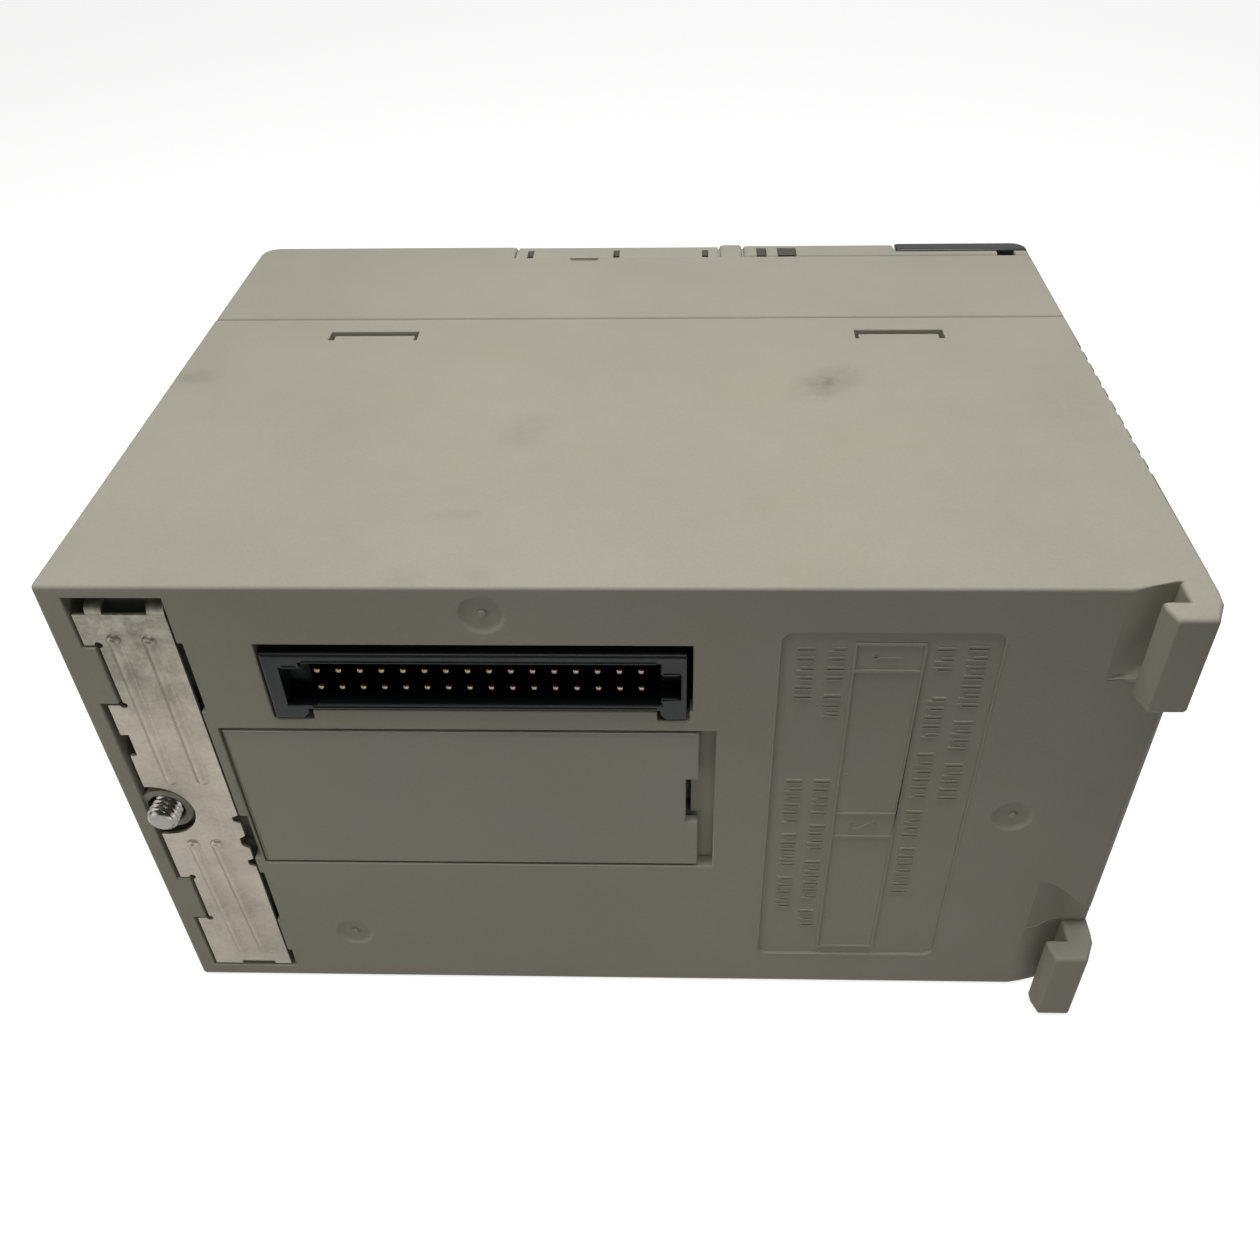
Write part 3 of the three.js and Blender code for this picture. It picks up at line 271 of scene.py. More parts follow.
def moulded_plastic(name, colour, grain=0.3, rough=0.55, smudges=(), mottle=0.04, depth=0.010, shine=0.18):
    """Plastic with a fine moulded grain, slow and quick changes of tone, dull yellowish dust and smudges."""
    f = Finish(name)
    cloud = f.noise(34, 3)
    blotch = f.noise(5.5, 4, offset=0.3)
    fine = f.noise(grain, 2, 0.6)
    value = f.calc("ADD", f.vary(cloud, 1 - mottle, 1 + mottle), f.vary(blotch, -0.012, 0.012))
    value = f.calc("ADD", value, f.vary(fine, -0.035, 0.035))
    value = f.stained(value, smudges)
    red, green, blue, _ = colour
    dust = (red * 0.93, green * 0.93, blue * 0.84, 1)
    dustiness = f.span(f.noise(13, 5, 0.6, offset=2.0), (0.42, 0.75), (0, 0.28))
    dusty = f.mix(dustiness, colour, dust)
    gloss = f.calc("ADD", f.vary(blotch, rough - 0.05, rough + 0.05), f.vary(fine, -0.05, 0.05))
    normal = f.bump(fine, depth)
    return f.done(f.shade(dusty, value), gloss, normal=normal, Specular_IOR_Level=shine)


def sheet_metal(name, colour, rough, metallic, mottle, grain=0.5, depth=0.004, speckle=0.06, dark_marks=()):
    """Plated metal with crystal spangle, clouds of dullness, fine speckle and any dark marks given."""
    f = Finish(name)
    crystal = f.add("ShaderNodeTexVoronoi", {"Vector": f.spot, "Scale": 1000 / 1.3}).outputs["Color"]
    spangle = f.add("ShaderNodeSeparateColor", {0: crystal}).outputs[0]
    cloud = f.noise(7, 5, 0.65)
    fine = f.noise(grain, 3, 0.6)
    value = f.calc("ADD", f.vary(cloud, 1 - mottle, 1 + mottle), f.span(spangle, (0, 1), (-0.03, 0.03)))
    value = f.calc("ADD", value, f.vary(fine, -speckle, speckle))
    value = f.stained(value, dark_marks)
    gloss = f.calc("ADD", f.vary(cloud, rough + 0.08, rough - 0.06), f.vary(fine, -0.06, 0.06))
    return f.done(f.shade(colour, value), gloss, metallic, f.bump(fine, depth))


def circuit_board_finish(name):
    """Green solder mask over a net of tracks."""
    f = Finish(name)
    base = f.mix(f.vary(f.noise(9, 3), 0, 1), linear(40, 86, 52), linear(46, 96, 58))
    brick = f.add("ShaderNodeTexBrick", {
        "Scale": 1000 / TRACK_LENGTH, "Brick Width": 1.0, "Row Height": 0.25,
        "Mortar Size": 0.05, "Mortar Smooth": 0.1,
        "Color1": (0, 0, 0, 1), "Color2": (0, 0, 0, 1), "Mortar": (1, 1, 1, 1),
    })
    mapping = f.add("ShaderNodeMapping", {"Vector": f.spot})
    mapping.inputs["Rotation"].default_value = (math.radians(90), 0, 0)
    f.put(brick.inputs["Vector"], mapping.outputs[0])
    tracks = f.add("ShaderNodeSeparateColor", {0: brick.outputs["Color"]}).outputs[0]
    colour = f.mix(f.calc("MULTIPLY", tracks, 0.55), base, linear(70, 120, 74))
    return f.done(colour, f.vary(f.noise(1.2, 3), 0.28, 0.42), normal=f.bump(tracks, 0.03))


def clear_finish(name):
    f = Finish(name)
    haze = f.noise(1.5, 3)
    return f.done(
        linear(214, 218, 216), f.vary(haze, 0.05, 0.14), normal=f.bump(haze, 0.004),
        Transmission_Weight=0.8, IOR=1.49)


# Each mark is a spot of the unit, its radii, its turn in degrees about Z, and how dark it is.
SMUDGES = [
    ((92.3, 47.4, 73), (9.0, 5.4, 3), 47, 0.27),
    ((92.6, 48.0, 73), (3.4, 2.2, 3), 47, 0.10),
    ((51.5, 33.5, 73), (8.0, 5.0, 3), 55, 0.12),
    ((3.0, 49.5, 73), (5.5, 3.4, 4), 8, 0.16),
    ((45.9, 14.5, 73), (6.0, 1.5, 3), 4, 0.09),
    ((41.2, 2.0, 73), (3.4, 3.0, 3), 0, 0.12),
    ((49.5, 2.2, 73), (2.6, 3.0, 3), 60, 0.10),
    ((124.0, 40.0, 73), (9.0, 16.0, 3), 0, 0.05),
]
# A broad mark that makes the ground plate darker towards its top end.
PLATE_TOP_DARKENING = [((9.0, 0.0, 70.0), (60.0, 60.0, 27.0), 0, 0.5)]
PLASTICS = {
    "case_plastic": {"colour": (163, 160, 146), "smudges": SMUDGES},
    "door_plastic": {"colour": (166, 163, 150)},
    "black_plastic": {"colour": (16, 19, 21), "rough": 0.42, "mottle": 0.12, "shine": 0.3},
    "chip_body": {"colour": (38, 39, 41), "grain": 0.12, "rough": 0.6, "mottle": 0.05},
    "smoked_panel": {
        "colour": (50, 51, 53), "grain": 0.9, "rough": 0.2, "mottle": 0.05, "depth": 0.002, "shine": 0.5,
    },
    "lamp_green": {"colour": (150, 196, 146), "grain": 0.5, "rough": 0.25, "depth": 0.002},
    "lamp_red": {"colour": (200, 104, 90), "grain": 0.5, "rough": 0.25, "depth": 0.002},
    "cell_wrap": {"colour": (140, 160, 178), "grain": 0.8, "rough": 0.35, "depth": 0.003},
    "lead_cover": {"colour": (160, 50, 40), "grain": 0.2, "rough": 0.55},
    "white_plastic": {"colour": (230, 227, 216), "grain": 0.25, "rough": 0.5, "mottle": 0.02},
}
METALS = {
    "tinned_steel": {
        "colour": (172, 166, 152), "rough": 0.48, "metallic": 0.6, "mottle": 0.12,
        "grain": 0.6, "speckle": 0.12, "dark_marks": PLATE_TOP_DARKENING,
    },
    "nickel_plate": {
        "colour": (134, 131, 125), "rough": 0.26, "metallic": 1.0, "mottle": 0.03, "depth": 0.0015,
    },
    "contact_gold": {
        "colour": (126, 112, 88), "rough": 0.16, "metallic": 1.0, "mottle": 0.05, "depth": 0.001,
    },
}
LOOKS = {
    "circuit_board": circuit_board_finish("circuit_board"),
    "clear_plastic": clear_finish("clear_plastic"),
}
for make_finish, table in ((moulded_plastic, PLASTICS), (sheet_metal, METALS)):
    for look, recipe in table.items():
        settings = dict(recipe, colour=linear(*recipe["colour"]))
        LOOKS[look] = make_finish(look, **settings)

# ------------------------------------------------------------------ meshes

record = frame["record"]
SLOT_OF = {row["node"]: row["material_slot"] for row in record["subparts"]}
BODY_OF = {node: body for body, members in record["behaviour"]["bodies"].items() for node in members}
SAME_PLACE = 1e-4
SAME_PLANE = math.radians(0.6)
LEAST_ANGLE = math.radians(28)  # edges flatter than this aren't rounded
LEAST_ROUND = 0.05
SHARE_OF_LENGTH, SHARE_OF_ROOM = 1 / 2.4, 1 / 2.3  # what a rounded edge may take of its surroundings


def mesh_of_node(node):
    """The CAD node's mesh as a bmesh in the unit's millimetres, with one face for each flat."""
    bm = bmesh.new()
    bm.from_mesh(nodes[node].data)
    bmesh.ops.transform(bm, matrix=TO_UNIT, verts=bm.verts)
    bmesh.ops.remove_doubles(bm, verts=bm.verts, dist=SAME_PLACE)
    bmesh.ops.dissolve_limit(bm, angle_limit=SAME_PLANE, verts=bm.verts, edges=bm.edges)
    return bm


def unit_box(node):
    """The two corners of a CAD node's box, in the unit's millimetres."""
    low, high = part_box(node)
    return TO_UNIT @ low, TO_UNIT @ high


def room_beside(edge):
    """The least distance, across the faces on both sides, from an edge to an edge it does not touch."""
    a, b = (vert.co for vert in edge.verts)
    own_marks = [a.lerp(b, share) for share in (0.03, 0.5, 0.97)]
    least = math.inf
    for face in edge.link_faces:
        for other in face.edges:
            if other is edge or set(other.verts) & set(edge.verts):
                continue
            start, end = (vert.co for vert in other.verts)
            pairs = [(mark, start, end) for mark in own_marks]
            pairs += [(mark, a, b) for mark in (start.lerp(end, 0.5), start)]
            for mark, line_start, line_end in pairs:
                share = intersect_point_line(mark, line_start, line_end)[1]
                foot = line_start.lerp(line_end, min(1.0, max(0.0, share)))
                least = min(least, (mark - foot).length)
    return least


def weigh_edges(bm, width, wanted=None):
    """Gives each convex edge the share of the full bevel that fits before it meets its neighbours."""
    layer = bm.edges.layers.float.new("bevel_weight_edge")
    for edge in bm.edges:
        edge[layer] = 0.0
        if len(edge.link_faces) != 2 or not edge.is_convex:
            continue
        if edge.calc_face_angle(0) < LEAST_ANGLE:
            continue
        own = wanted(edge) if wanted else width
        shortest = min(e.calc_length() for v in edge.verts for e in v.link_edges)
        room = min(own, shortest * SHARE_OF_LENGTH, room_beside(edge) * SHARE_OF_ROOM)
        edge[layer] = room / width if room > LEAST_ROUND else 0.0


def applied(made):
    """The object with its modifiers turned into mesh."""
    bpy.context.view_layer.update()
    evaluated = made.evaluated_get(bpy.context.evaluated_depsgraph_get())
    mesh = bpy.data.meshes.new_from_object(evaluated)
    made.modifiers.clear()
    made.data = mesh
    mesh.name = made.name


def finished(bm, name, look, body, stands_for=(), width=0.0, segments=2, smooth=40, wanted=None):
    """An object from a bmesh in millimetres: bevelled, smoothed, riding on its body."""
    if width:
        weigh_edges(bm, width, wanted=wanted)
    bmesh.ops.transform(bm, matrix=TO_FRAME, verts=bm.verts)
    mesh = bpy.data.meshes.new(name)
    bm.to_mesh(mesh)
    bm.free()
    made = bpy.data.objects.new(name, mesh)
    bpy.context.scene.collection.objects.link(made)
    if width:
        bevel = made.modifiers.new("bevel", "BEVEL")
        bevel.limit_method = "WEIGHT"
        bevel.width = width * MM
        bevel.segments = segments
        bevel.use_clamp_overlap = False
        bevel.profile = 0.5
        applied(made)
    for polygon in made.data.polygons:
        polygon.use_smooth = True
    made.data.set_sharp_from_angle(angle=math.radians(smooth))
    flats = made.modifiers.new("flats", "WEIGHTED_NORMAL")
    flats.mode = "FACE_AREA"
    flats.weight = 100
    flats.keep_sharp = True
    applied(made)
    made.data.materials.clear()
    made.data.materials.append(LOOKS[look])
    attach(made, body)
    if stands_for:
        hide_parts(*stands_for)


def refined(node, width, segments=2, change=None, wanted=None):
    """A piece that stands for a CAD node: its mesh with rounded edges, and any change to it."""
    bm = mesh_of_node(node)
    if change:
        change(bm)
    name = node + "_detail"
    finished(bm, name, SLOT_OF[node], BODY_OF[node], (node,), width, segments, wanted=wanted)


def rear_edge(edge):
    """The hooks have softer edges than the rest of the rear shell."""
    a, b = (vert.co for vert in edge.verts)
    on_hook = max(a.y, b.y) < -1.2
    return 0.5 if on_hook else 0.2


def shroud_edge(edge):
    """The outer rim of the connector's wall is chamfered, its inside is nearly sharp."""
    a, b = (vert.co for vert in edge.verts)
    on_rim = max(a.y, b.y) < 0
    return 0.45 if on_rim else 0.12


# ------------------------------------------------------------------ shapes built here, in millimetres

def loft(bm, rings):
    """Joins rings of points, each with as many points as the last, and caps both ends."""
    made = [[bm.verts.new(point) for point in ring] for ring in rings]
    count = len(made[0])
    for a, b in zip(made, made[1:]):
        for i in range(count):
            j = (i + 1) % count
            bm.faces.new((a[i], a[j], b[j], b[i]))
    bm.faces.new(list(reversed(made[0])))
    bm.faces.new(made[-1])
    return made


def circle(centre_x, centre_z, radius, y, sides):
    angles = [i * 2 * math.pi / sides for i in range(sides)]
    return [(centre_x + radius * math.cos(angle), y, centre_z + radius * math.sin(angle)) for angle in angles]


def turned(bm, x, z, profile, sides):
    """A closed turned solid along Y from [radius, y] pairs."""
    loft(bm, [circle(x, z, radius, y, sides) for radius, y in profile])


def bar(bm, x, y, z, inset=0.0):
    """A block whose face towards -Y is smaller by inset all round, as a moulded rib is."""
    base = [(x[0], y[1], z[0]), (x[1], y[1], z[0]), (x[1], y[1], z[1]), (x[0], y[1], z[1])]
    near = [
        (x[0] + inset, y[0], z[0] + inset), (x[1] - inset, y[0], z[0] + inset),
        (x[1] - inset, y[0], z[1] - inset), (x[0] + inset, y[0], z[1] - inset),
    ]
    loft(bm, [near, base])


def stadium(start, end, radius, y, steps=8):
    """The outline of a slot with round ends, in the XZ plane."""
    (x1, z1), (x2, z2) = start, end
    along = math.atan2(z2 - z1, x2 - x1)
    points = []
    for (x, z), first in (((x2, z2), along - math.pi / 2), ((x1, z1), along + math.pi / 2)):
        for i in range(steps + 1):
            angle = first + math.pi * i / steps
            points.append((x + radius * math.cos(angle), y, z + radius * math.sin(angle)))
    return points


def pressed_bead(bm, start, end, half_width, height, face):
    """A long swelling in sheet metal, tangent to the sheet at its edge."""
    root_depth, edge_depth = 0.2, 0.004
    rings = [stadium(start, end, half_width + 0.02, face + root_depth)]
    for share in (1.0, 0.85, 0.7, 0.55, 0.4, 0.25, 0.1):
        lift = height * (0.5 + 0.5 * math.cos(math.pi * share))
        rings.append(stadium(start, end, half_width * share, face + edge_depth - lift))
    loft(bm, rings)


def ribbon(bm, path, thickness, x):
    """A strip of sheet metal across x that follows a path of (y, z) points."""
    left, right = [], []
    for i, (y, z) in enumerate(path):
        y0, z0 = path[max(i - 1, 0)]
        y1, z1 = path[min(i + 1, len(path) - 1)]
        length = math.hypot(y1 - y0, z1 - z0)
        side_y, side_z = -(z1 - z0) / length * thickness / 2, (y1 - y0) / length * thickness / 2
        left.append((y + side_y, z + side_z))
        right.append((y - side_y, z - side_z))
    outline = left + right[::-1]
    loft(bm, [[(at, y, z) for y, z in outline] for at in x])


def tube(bm, path, radius, sides=8):
    """A round line through a path of points."""
    points = [Vector(point) for point in path]
    rings = []
    for i, point in enumerate(points):
        ahead = (points[min(i + 1, len(points) - 1)] - points[max(i - 1, 0)]).normalized()
        side = ahead.cross(Vector((0, 1, 0)))
        side = side.normalized() if side.length > 0.1 else Vector((1, 0, 0))
        across = ahead.cross(side)
        rings.append([
            point + (side * math.cos(a) + across * math.sin(a)) * radius
            for a in (2 * math.pi * k / sides for k in range(sides))
        ])
    loft(bm, rings)


def new_piece(name, build, look, body, smooth, stands_for=()):
    """A piece that is built here and has no CAD mesh behind it."""
    bm = bmesh.new()
    build(bm)
    bmesh.ops.recalc_face_normals(bm, faces=bm.faces)
    finished(bm, name, look, body, stands_for, smooth=smooth)


# ------------------------------------------------------------------ the screw

SCREW_X, SCREW_Z, SCREW_SIDES = 4.8, 36.4, 40
TIP, THREAD_END, HEAD_TOP = -2.0, 5.0, 25.0
CREST, ROOT, PITCH = 2.0, 1.62, 0.7
RINGS_PER_TURN = 8
TIP_CHAMFER = [(0.9, TIP + 0.02), (1.25, TIP)]
SHANK_AND_HEAD = [
    (1.62, 5.0), (1.62, 22.2), (1.75, 22.3), (3.35, 22.3), (3.5, 22.45), (3.5, 24.4), (3.38, 24.75),
    (3.05, HEAD_TOP), (2.5, HEAD_TOP),
]
RECESS_CORE, RECESS_ARM, RECESS_FLOOR, RECESS_TAPER = 0.75, 1.4, 23.4, 0.55


def thread_ring(y):
    """One cross-section of the thread: its crest runs round the screw as y grows."""
    cone = min(CREST, 1.35 + (y - TIP) * 1.1)
    fade = min(1.0, (THREAD_END - y) / 0.8)
    ring = []
    for k in range(SCREW_SIDES):
        angle = 2 * math.pi * k / SCREW_SIDES
        turn = ((y - TIP) / PITCH - k / SCREW_SIDES) % 1.0
        wave = abs(turn * 2 - 1)
        flank = min(1.0, max(0.0, (wave - 0.12) / 0.72))
        radius = min(cone, ROOT + (CREST - ROOT) * flank * fade)
        ring.append((SCREW_X + radius * math.cos(angle), y, SCREW_Z + radius * math.sin(angle)))
    return ring


def threaded_screw(bm):
    """An M4 screw: a real helix at the tip, a plain shank, and a pan head with a cross slot."""
    rings = [circle(SCREW_X, SCREW_Z, radius, y, SCREW_SIDES) for radius, y in TIP_CHAMFER]
    steps = int((THREAD_END - TIP - 0.15) / PITCH * RINGS_PER_TURN)
    for i in range(1, steps + 1):
        rings.append(thread_ring(TIP + 0.1 + i * PITCH / RINGS_PER_TURN))
    for radius, y in SHANK_AND_HEAD:
        rings.append(circle(SCREW_X, SCREW_Z, radius, y, SCREW_SIDES))
    rim = loft(bm, rings)[-1]
    cap = next(face for face in rim[0].link_faces if len(face.verts) == SCREW_SIDES)
    bmesh.ops.delete(bm, geom=[cap], context="FACES_ONLY")
    cross_slot(bm, rim)


def cross_slot(bm, rim):
    """Closes the head inside its rim with a four-pointed driver recess."""
    mouth, floor = [], []
    for k in range(SCREW_SIDES):
        angle = 2 * math.pi * k / SCREW_SIDES
        reach = RECESS_CORE + RECESS_ARM * abs(math.cos(2 * angle)) ** 3
        for ring, share, y in ((mouth, 1, HEAD_TOP), (floor, RECESS_TAPER, RECESS_FLOOR)):
            x = SCREW_X + reach * share * math.cos(angle)
            z = SCREW_Z + reach * share * math.sin(angle)
            ring.append(bm.verts.new((x, y, z)))
    for a, b in ((rim, mouth), (mouth, floor)):
        for i in range(SCREW_SIDES):
            j = (i + 1) % SCREW_SIDES
            bm.faces.new((a[i], a[j], b[j], b[i]))
    bm.faces.new(floor)


# ------------------------------------------------------------------ the ground plate

PLATE_FACE, PLATE_TOP = 0.2, 68.9
BEADS = [
    ((7, 65.2), (7, 42)), ((11.1, 65.0), (11.1, 42)),
    ((6.5, 29.7), (7.4, 6.2)), ((9.7, 29.7), (10.7, 6.2)),
]
BEAD_HALF_WIDTH, BEAD_HEIGHT = 0.85, 0.62
DIMPLE = [(0.85, 0.21), (0.75, 0.02), (0.55, -0.12), (0.3, -0.19), (0.1, -0.21)]
TABS = [(4.9, 6.8), (12.0, 14.0)]
TAB_START, TAB_BEND, TAB_END, TAB_THICKNESS = 0.45, 0.9, 2.9, 0.42


def bare_plate(bm):
    """Takes the beads and the tabs off the CAD plate."""
    for vert in bm.verts:
        vert.co.y = max(vert.co.y, PLATE_FACE)
    bmesh.ops.bisect_plane(
        bm, geom=bm.verts[:] + bm.edges[:] + bm.faces[:], dist=1e-5,
        plane_co=(0, 0, PLATE_TOP - 0.02), plane_no=(0, 0, 1), clear_outer=True)
    bmesh.ops.holes_fill(bm, edges=[e for e in bm.edges if e.is_boundary])
    bmesh.ops.remove_doubles(bm, verts=bm.verts, dist=SAME_PLACE)
    bmesh.ops.dissolve_degenerate(bm, dist=SAME_PLACE, edges=bm.edges)
    bmesh.ops.dissolve_limit(bm, angle_limit=SAME_PLANE, verts=bm.verts, edges=bm.edges)
    bmesh.ops.recalc_face_normals(bm, faces=bm.faces)


def plate_pressings(bm):
    """The beads, the dimple at the upper end of each, and the two tabs bent over at the plate's top."""
    for start, end in BEADS:
        pressed_bead(bm, start, end, BEAD_HALF_WIDTH, BEAD_HEIGHT, PLATE_FACE)
        dimple = max((start, end), key=lambda point: point[1])
        turned(bm, dimple[0], dimple[1], DIMPLE, 20)
    path = [(TAB_START, PLATE_TOP - 0.6), (TAB_START, PLATE_TOP + 0.05)]
    for i in range(9):
        angle = math.pi / 2 * i / 8
        y = TAB_START + TAB_BEND - TAB_BEND * math.cos(angle)
        path.append((y, PLATE_TOP + 0.1 + TAB_BEND * math.sin(angle)))
    path.append((TAB_END, PLATE_TOP + 1.0))
    for x in TABS:
        ribbon(bm, path, TAB_THICKNESS, x)


# ------------------------------------------------------------------ the notice panel

EDGE_LINE = 0.12  # half the width of the fine raised lines, here and on the battery cover
PANEL_FLOOR = 0.35
PANEL_X, PANEL_Z, PANEL_CORNER = (83.45, 108.75), (6.75, 66.95), 1.5
# The X range of each block of lines, then the Z at which each of its words starts and its number of letters.
PANEL_TEXT = [
    ((104.7, 107.1), [(64.8, 7), (53.2, 4), (46.0, 5)]),
    ((101.1, 103.3), [(64.6, 3), (57.0, 5), (47.8, 6), (37.4, 4), (30.2, 7)]),
    ((88.9, 91.0), [(64.6, 4), (57.4, 3), (43.0, 5), (34.6, 4), (27.4, 6), (16.8, 3)]),
    ((85.4, 87.5), [(64.6, 6), (43.0, 6), (32.8, 5), (24.0, 5)]),
]
LETTER_PITCH, STROKE_PITCH, STROKE_WIDTH, STROKE_TOP = 1.45, 0.55, 0.3, 0.17
NUMBER_ONE = [(94.6, 63.4), (94.2, 62.9), (97.6, 62.9)]
NUMBER_TWO = [
    (94.7, 35.3), (94.2, 34.9), (94.2, 34.2), (94.7, 33.8), (95.4, 33.9), (97.4, 35.4), (97.4, 33.7),
]
DOTS_X, DOTS_Z = 92.9, (52.0, 44.0, 23.5, 15.5)
DOT = [(0.22, 0.4), (0.2, 0.26), (0.1, 0.22)]


def notice_text(bm):
    """Raised strokes, two for a letter, where a notice would be, and the numbers of two date cells."""
    for (low, high), words in PANEL_TEXT:
        for top, count in words:
            for letter in range(count):
                for stroke in range(2):
                    is_short = (letter * 7 + stroke * 5 + count * 3 + int(top)) % 4 == 0
                    start = low + 0.6 if is_short else low
                    z = top - letter * LETTER_PITCH - stroke * STROKE_PITCH
                    bar(bm, (start, high), (STROKE_TOP, PANEL_FLOOR + 0.06), (z - STROKE_WIDTH, z), 0.08)
    for number in (NUMBER_ONE, NUMBER_TWO):
        tube(bm, [(x, PANEL_FLOOR - 0.02, z) for x, z in number], 0.14, 6)
    for z in DOTS_Z:
        turned(bm, DOTS_X, z, DOT, 10)


def panel_rim(bm):
    """A fine raised line along the panel's two long sides and round its lower edge."""
    (left, right), (bottom, top), corner = PANEL_X, PANEL_Z, PANEL_CORNER
    path = [(left, top - corner)]
    for centre_x, first in ((left + corner, math.pi), (right - corner, 1.5 * math.pi)):
        for i in range(7):
            angle = first + math.pi / 2 * i / 6
            path.append((centre_x + corner * math.cos(angle), bottom + corner + corner * math.sin(angle)))
    path.append((right, top - corner))
    tube(bm, [(x, 0.02, z) for x, z in path], EDGE_LINE, 6)


# ------------------------------------------------------------------ the battery cover

COVER_LEFT, COVER_RIGHT = 15.9, 74.5
COVER_BOTTOM, COVER_TOP = 26.5, 51.1


def cover_edge_line(bm):
    """The fine raised edge along the top and the lower end of the battery cover."""
    left, top = COVER_LEFT + 0.16, COVER_TOP - 0.16
    path = [(COVER_RIGHT - 0.6, top), (left, top), (left, COVER_BOTTOM + 0.6)]
    tube(bm, [(x, 0.1, z) for x, z in path], EDGE_LINE, 8)


# ------------------------------------------------------------------ flash beside the hooks

FLASH_LINES = [
    [(121.0, 0.0, 60.1), (122.7, 0.0, 60.25), (123.8, 0.0, 59.8), (125.2, 0.0, 59.95)],
    [
        (120.7, 0.0, 13.45), (122.5, 0.45, 13.3), (123.6, 0.74, 14.1), (124.7, 1.04, 14.4),
        (126.2, 1.44, 14.35),
    ],
]


def flash_lines(bm):
    """Two thin threads of plastic that the mould left."""
    for path in FLASH_LINES:
        tube(bm, path, 0.07, 6)


# ------------------------------------------------------------------ the front edge

FRONT_STEP, FRONT_FACE, RIGHT_SIDE = 92.8, 97.5, 73.0
GAP_SEALS = [(43.78, 44.06), (78.14, 78.42), (82.08, 82.42)]
DOOR_SLOTS = [(middle - 0.5, middle + 0.5) for middle in (46.3, 60.9, 75.9)]
BEZEL_SLOTS = [(84.6, 86.2), (88.1, 91.2)]
BEZEL_NOTCH = (124.7, 127.6)
# Where the dark strips of painted shade in the slots start and end, in Y.
SHADE_STRIP_START, SHADE_STRIP_END, NOTCH_SHADE_STRIP_END = FRONT_STEP + 0.4, FRONT_FACE - 1.25, 94.7


def gap_seals(bm):
    """Thin webs low in the gaps beside the door and the rib, which let no light through."""
    for x in GAP_SEALS:
        bar(bm, x, (FRONT_STEP, FRONT_FACE - 0.15), (RIGHT_SIDE - 2.0, RIGHT_SIDE - 0.6))


def slot_shade_strip(bm, slot, end=SHADE_STRIP_END):
    """A dark strip inside a slot: painted shade, dark where the slot is only in shade."""
    across = (slot[0] + 0.02, slot[1] - 0.02)
    bar(bm, across, (SHADE_STRIP_START, end), (RIGHT_SIDE - 1.8, RIGHT_SIDE - 1.3))


def door_slot_lining(bm):
    """Painted shade: dark strips behind the door's latch slots."""
    for slot in DOOR_SLOTS:
        slot_shade_strip(bm, slot)


def bezel_slot_lining(bm):
    """Painted shade: dark strips behind the two slots of the bezel, and behind its notch at the top end."""
    for slot in BEZEL_SLOTS:
        slot_shade_strip(bm, slot)
    slot_shade_strip(bm, BEZEL_NOTCH, NOTCH_SHADE_STRIP_END)


# ------------------------------------------------------------------ on the boards

LEAD_PITCH, LEAD_HALF_WIDTH, LEAD_THICKNESS = 1.27, 0.2, 0.2
CHIP_STANDOFF, CHIP_CORNERS = 0.3, 1.6
CHIP_SIDES = {"cpu_chip": "xz", "logic_chip": "xz", "memory_chip_1": "z", "memory_chip_2": "z"}


def chip_leads(bm):
    """Gull-wing leads: on four sides of the large chips, on two sides of the memory chips."""
    for node, sides in CHIP_SIDES.items():
        low, high = unit_box(node)
        for axis in sides:
            along = "x" if axis == "z" else "z"
            start, end = getattr(low, along), getattr(high, along)
            count = int((end - start - CHIP_CORNERS) / LEAD_PITCH)
            first = (start + end - (count - 1) * LEAD_PITCH) / 2
            for i in range(count):
                at = first + i * LEAD_PITCH
                for edge, way in ((getattr(low, axis), -1), (getattr(high, axis), 1)):
                    one_lead(bm, axis, at, edge, way, (low.y, high.y))


def one_lead(bm, axis, at, edge, way, chip_y):
    """A lead in three blocks: out of the chip's side, down to the board, and along it."""
    board, middle = chip_y[0] - CHIP_STANDOFF, (chip_y[0] + chip_y[1]) / 2
    top = middle + LEAD_THICKNESS
    across = (at - LEAD_HALF_WIDTH, at + LEAD_HALF_WIDTH)
    for inner, outer, depth in (
        (-0.3, 0.8, (middle, top)),
        (0.6, 0.85, (board, top)),
        (0.6, 1.7, (board, board + LEAD_THICKNESS)),
    ):
        reach = sorted((edge + way * inner, edge + way * outer))
        x, z = (across, reach) if axis == "z" else (reach, across)
        bar(bm, x, depth, z)


# ------------------------------------------------------------------ the backplane connector

# The X and Z ranges of the thin raised lines along the mouth of the socket, where its mould parts.
SHROUD_RIBS = [
    ((28.2, 69.4), (62.28, 62.5)), ((28.2, 69.4), (55.2, 55.45)), ((25.7, 27.5), (61.5, 61.75)),
    ((70.1, 72.1), (60.6, 60.85)), ((72.3, 72.5), (57.2, 60.4)),
]
PIN_ROWS = (57.7, 60.3)
PIN_FIRST, PIN_PITCH, PIN_COUNT, PIN_HALF = 29.45, 2.54, 16, 0.42
# The share of a pin's width, its Y, and the share of that width taken off each corner.
PIN_PROFILE = [(0.5, 0.6, 0.42), (0.74, 0.66, 0.42), (0.9, 0.84, 0.42), (1.0, 1.2, 0.42), (1.0, 12.7, 0.12)]
PIN_STRIP_Y = (11.3, 12.3)


def shroud_ribs(bm):
    for x, z in SHROUD_RIBS:
        bar(bm, x, (-0.45, 0.0), z, 0.05)


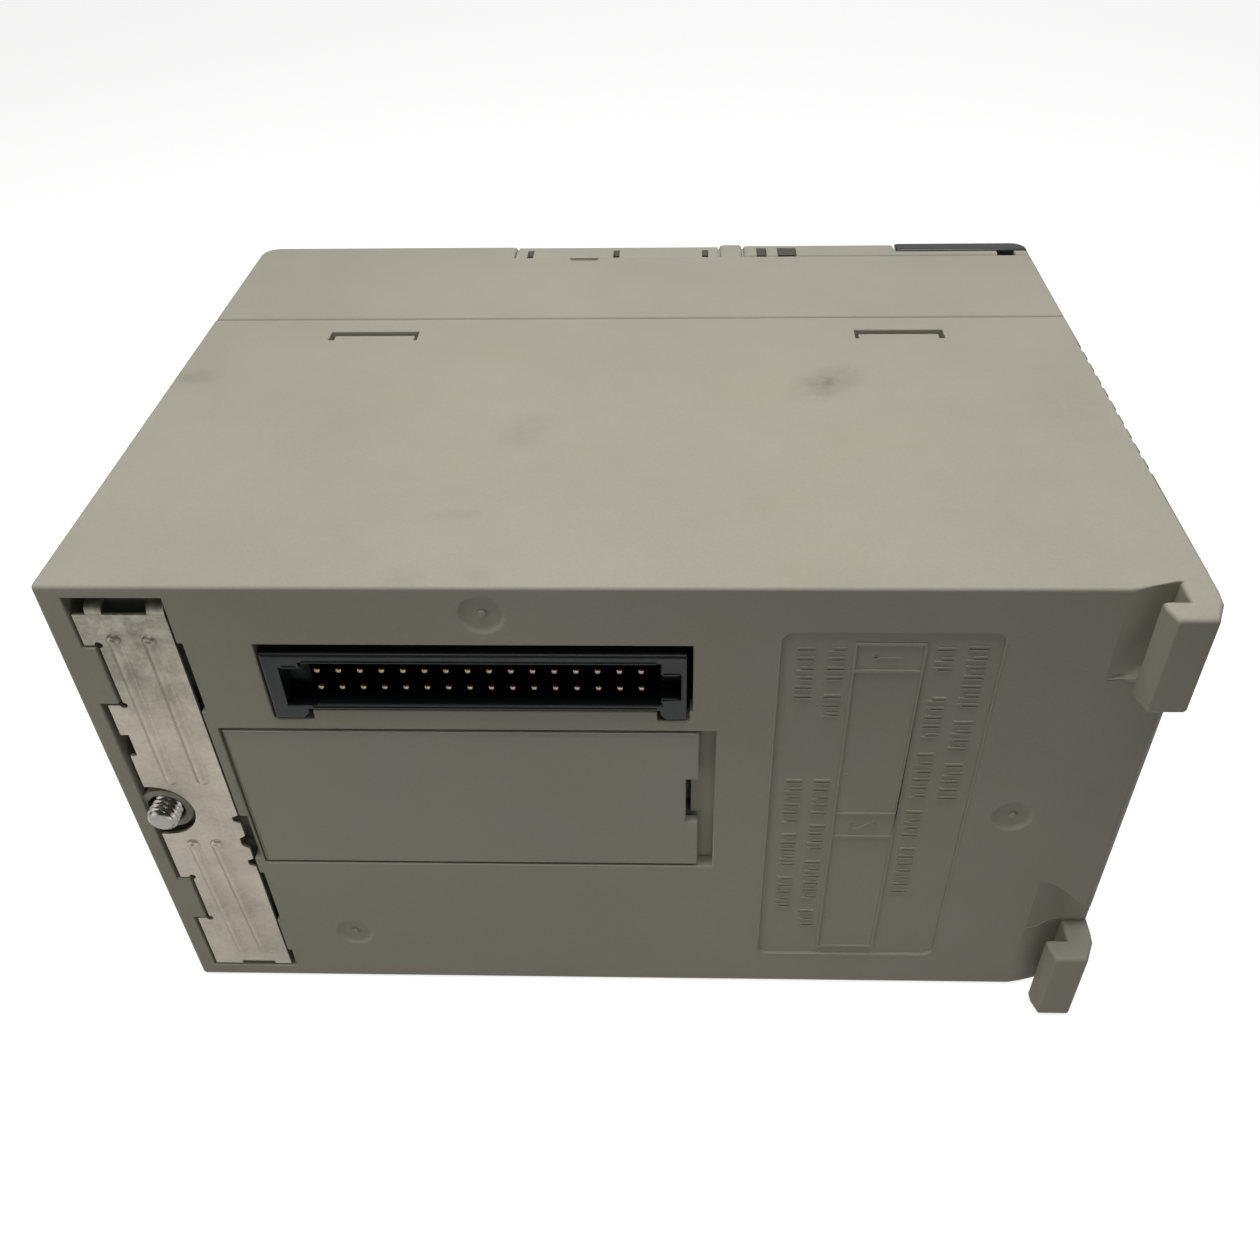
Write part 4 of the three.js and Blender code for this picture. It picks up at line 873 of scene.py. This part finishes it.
def rounded_pins(bm):
    """Thirty-two square posts with coined tips, and the strip that holds their tails."""
    for z in PIN_ROWS:
        for i in range(PIN_COUNT):
            x = PIN_FIRST + i * PIN_PITCH
            rings = []
            for share, y, corner in PIN_PROFILE:
                half = PIN_HALF * share
                flat = half - half * corner
                outline = [
                    (half, -flat), (half, flat), (flat, half), (-flat, half),
                    (-half, flat), (-half, -flat), (-flat, -half), (flat, -half),
                ]
                rings.append([(x + across, y, z + up) for across, up in outline])
            loft(bm, rings)
    low, high = unit_box("connector_pins")
    bar(bm, (low.x, high.x), PIN_STRIP_Y, (low.z, high.z), 0.1)


def dress_nodes():
    for name, node in nodes.items():
        node.data.materials.clear()
        node.data.materials.append(LOOKS[SLOT_OF[name]])


# ------------------------------------------------------------------ the module

EDGE_WIDTHS = {
    "front_case": 0.2, "battery_cover": 0.25, "memory_door": 0.1, "port_door": 0.1, "option_cover": 0.1,
    "indicator_bezel": 0.2, "indicator_window": 0.15,
}
# Name, builder, look, body, the angle up to which its faces shade as one, and the CAD node it stands for.
PIECES = [
    ("plate_pressings", plate_pressings, "tinned_steel", "case", 70),
    ("mounting_screw_detail", threaded_screw, "nickel_plate", "screw", 35, "mounting_screw"),
    ("notice_text", notice_text, "case_plastic", "case", 30),
    ("panel_rim", panel_rim, "case_plastic", "case", 60),
    ("cover_edge_line", cover_edge_line, "case_plastic", BODY_OF["battery_cover"], 60),
    ("flash_lines", flash_lines, "door_plastic", "case", 50),
    ("gap_seals", gap_seals, "case_plastic", "case", 30),
    # The two slot strips are painted shade: dark sheets where the slots are only in shade.
    ("door_slot_lining", door_slot_lining, "black_plastic", BODY_OF["memory_door"], 30),
    ("bezel_slot_lining", bezel_slot_lining, "black_plastic", BODY_OF["indicator_bezel"], 30),
    ("chip_leads", chip_leads, "tinned_steel", "case", 30),
    ("shroud_ribs", shroud_ribs, "black_plastic", "case", 30),
    ("connector_pins_detail", rounded_pins, "contact_gold", "case", 50, "connector_pins"),
]

make_camera()
make_world()
make_floor()
make_lights()

dress_nodes()
refined("rear_case", 0.5, segments=3, wanted=rear_edge)
for node, width in EDGE_WIDTHS.items():
    refined(node, width)
refined("connector_shroud", 0.45, wanted=shroud_edge)
refined("ground_plate", 0.06, change=bare_plate)
for name, build, look, body, smooth, *stands_for in PIECES:
    new_piece(name, build, look, body, smooth, stands_for)

bpy.context.scene.view_settings.view_transform = "Standard"
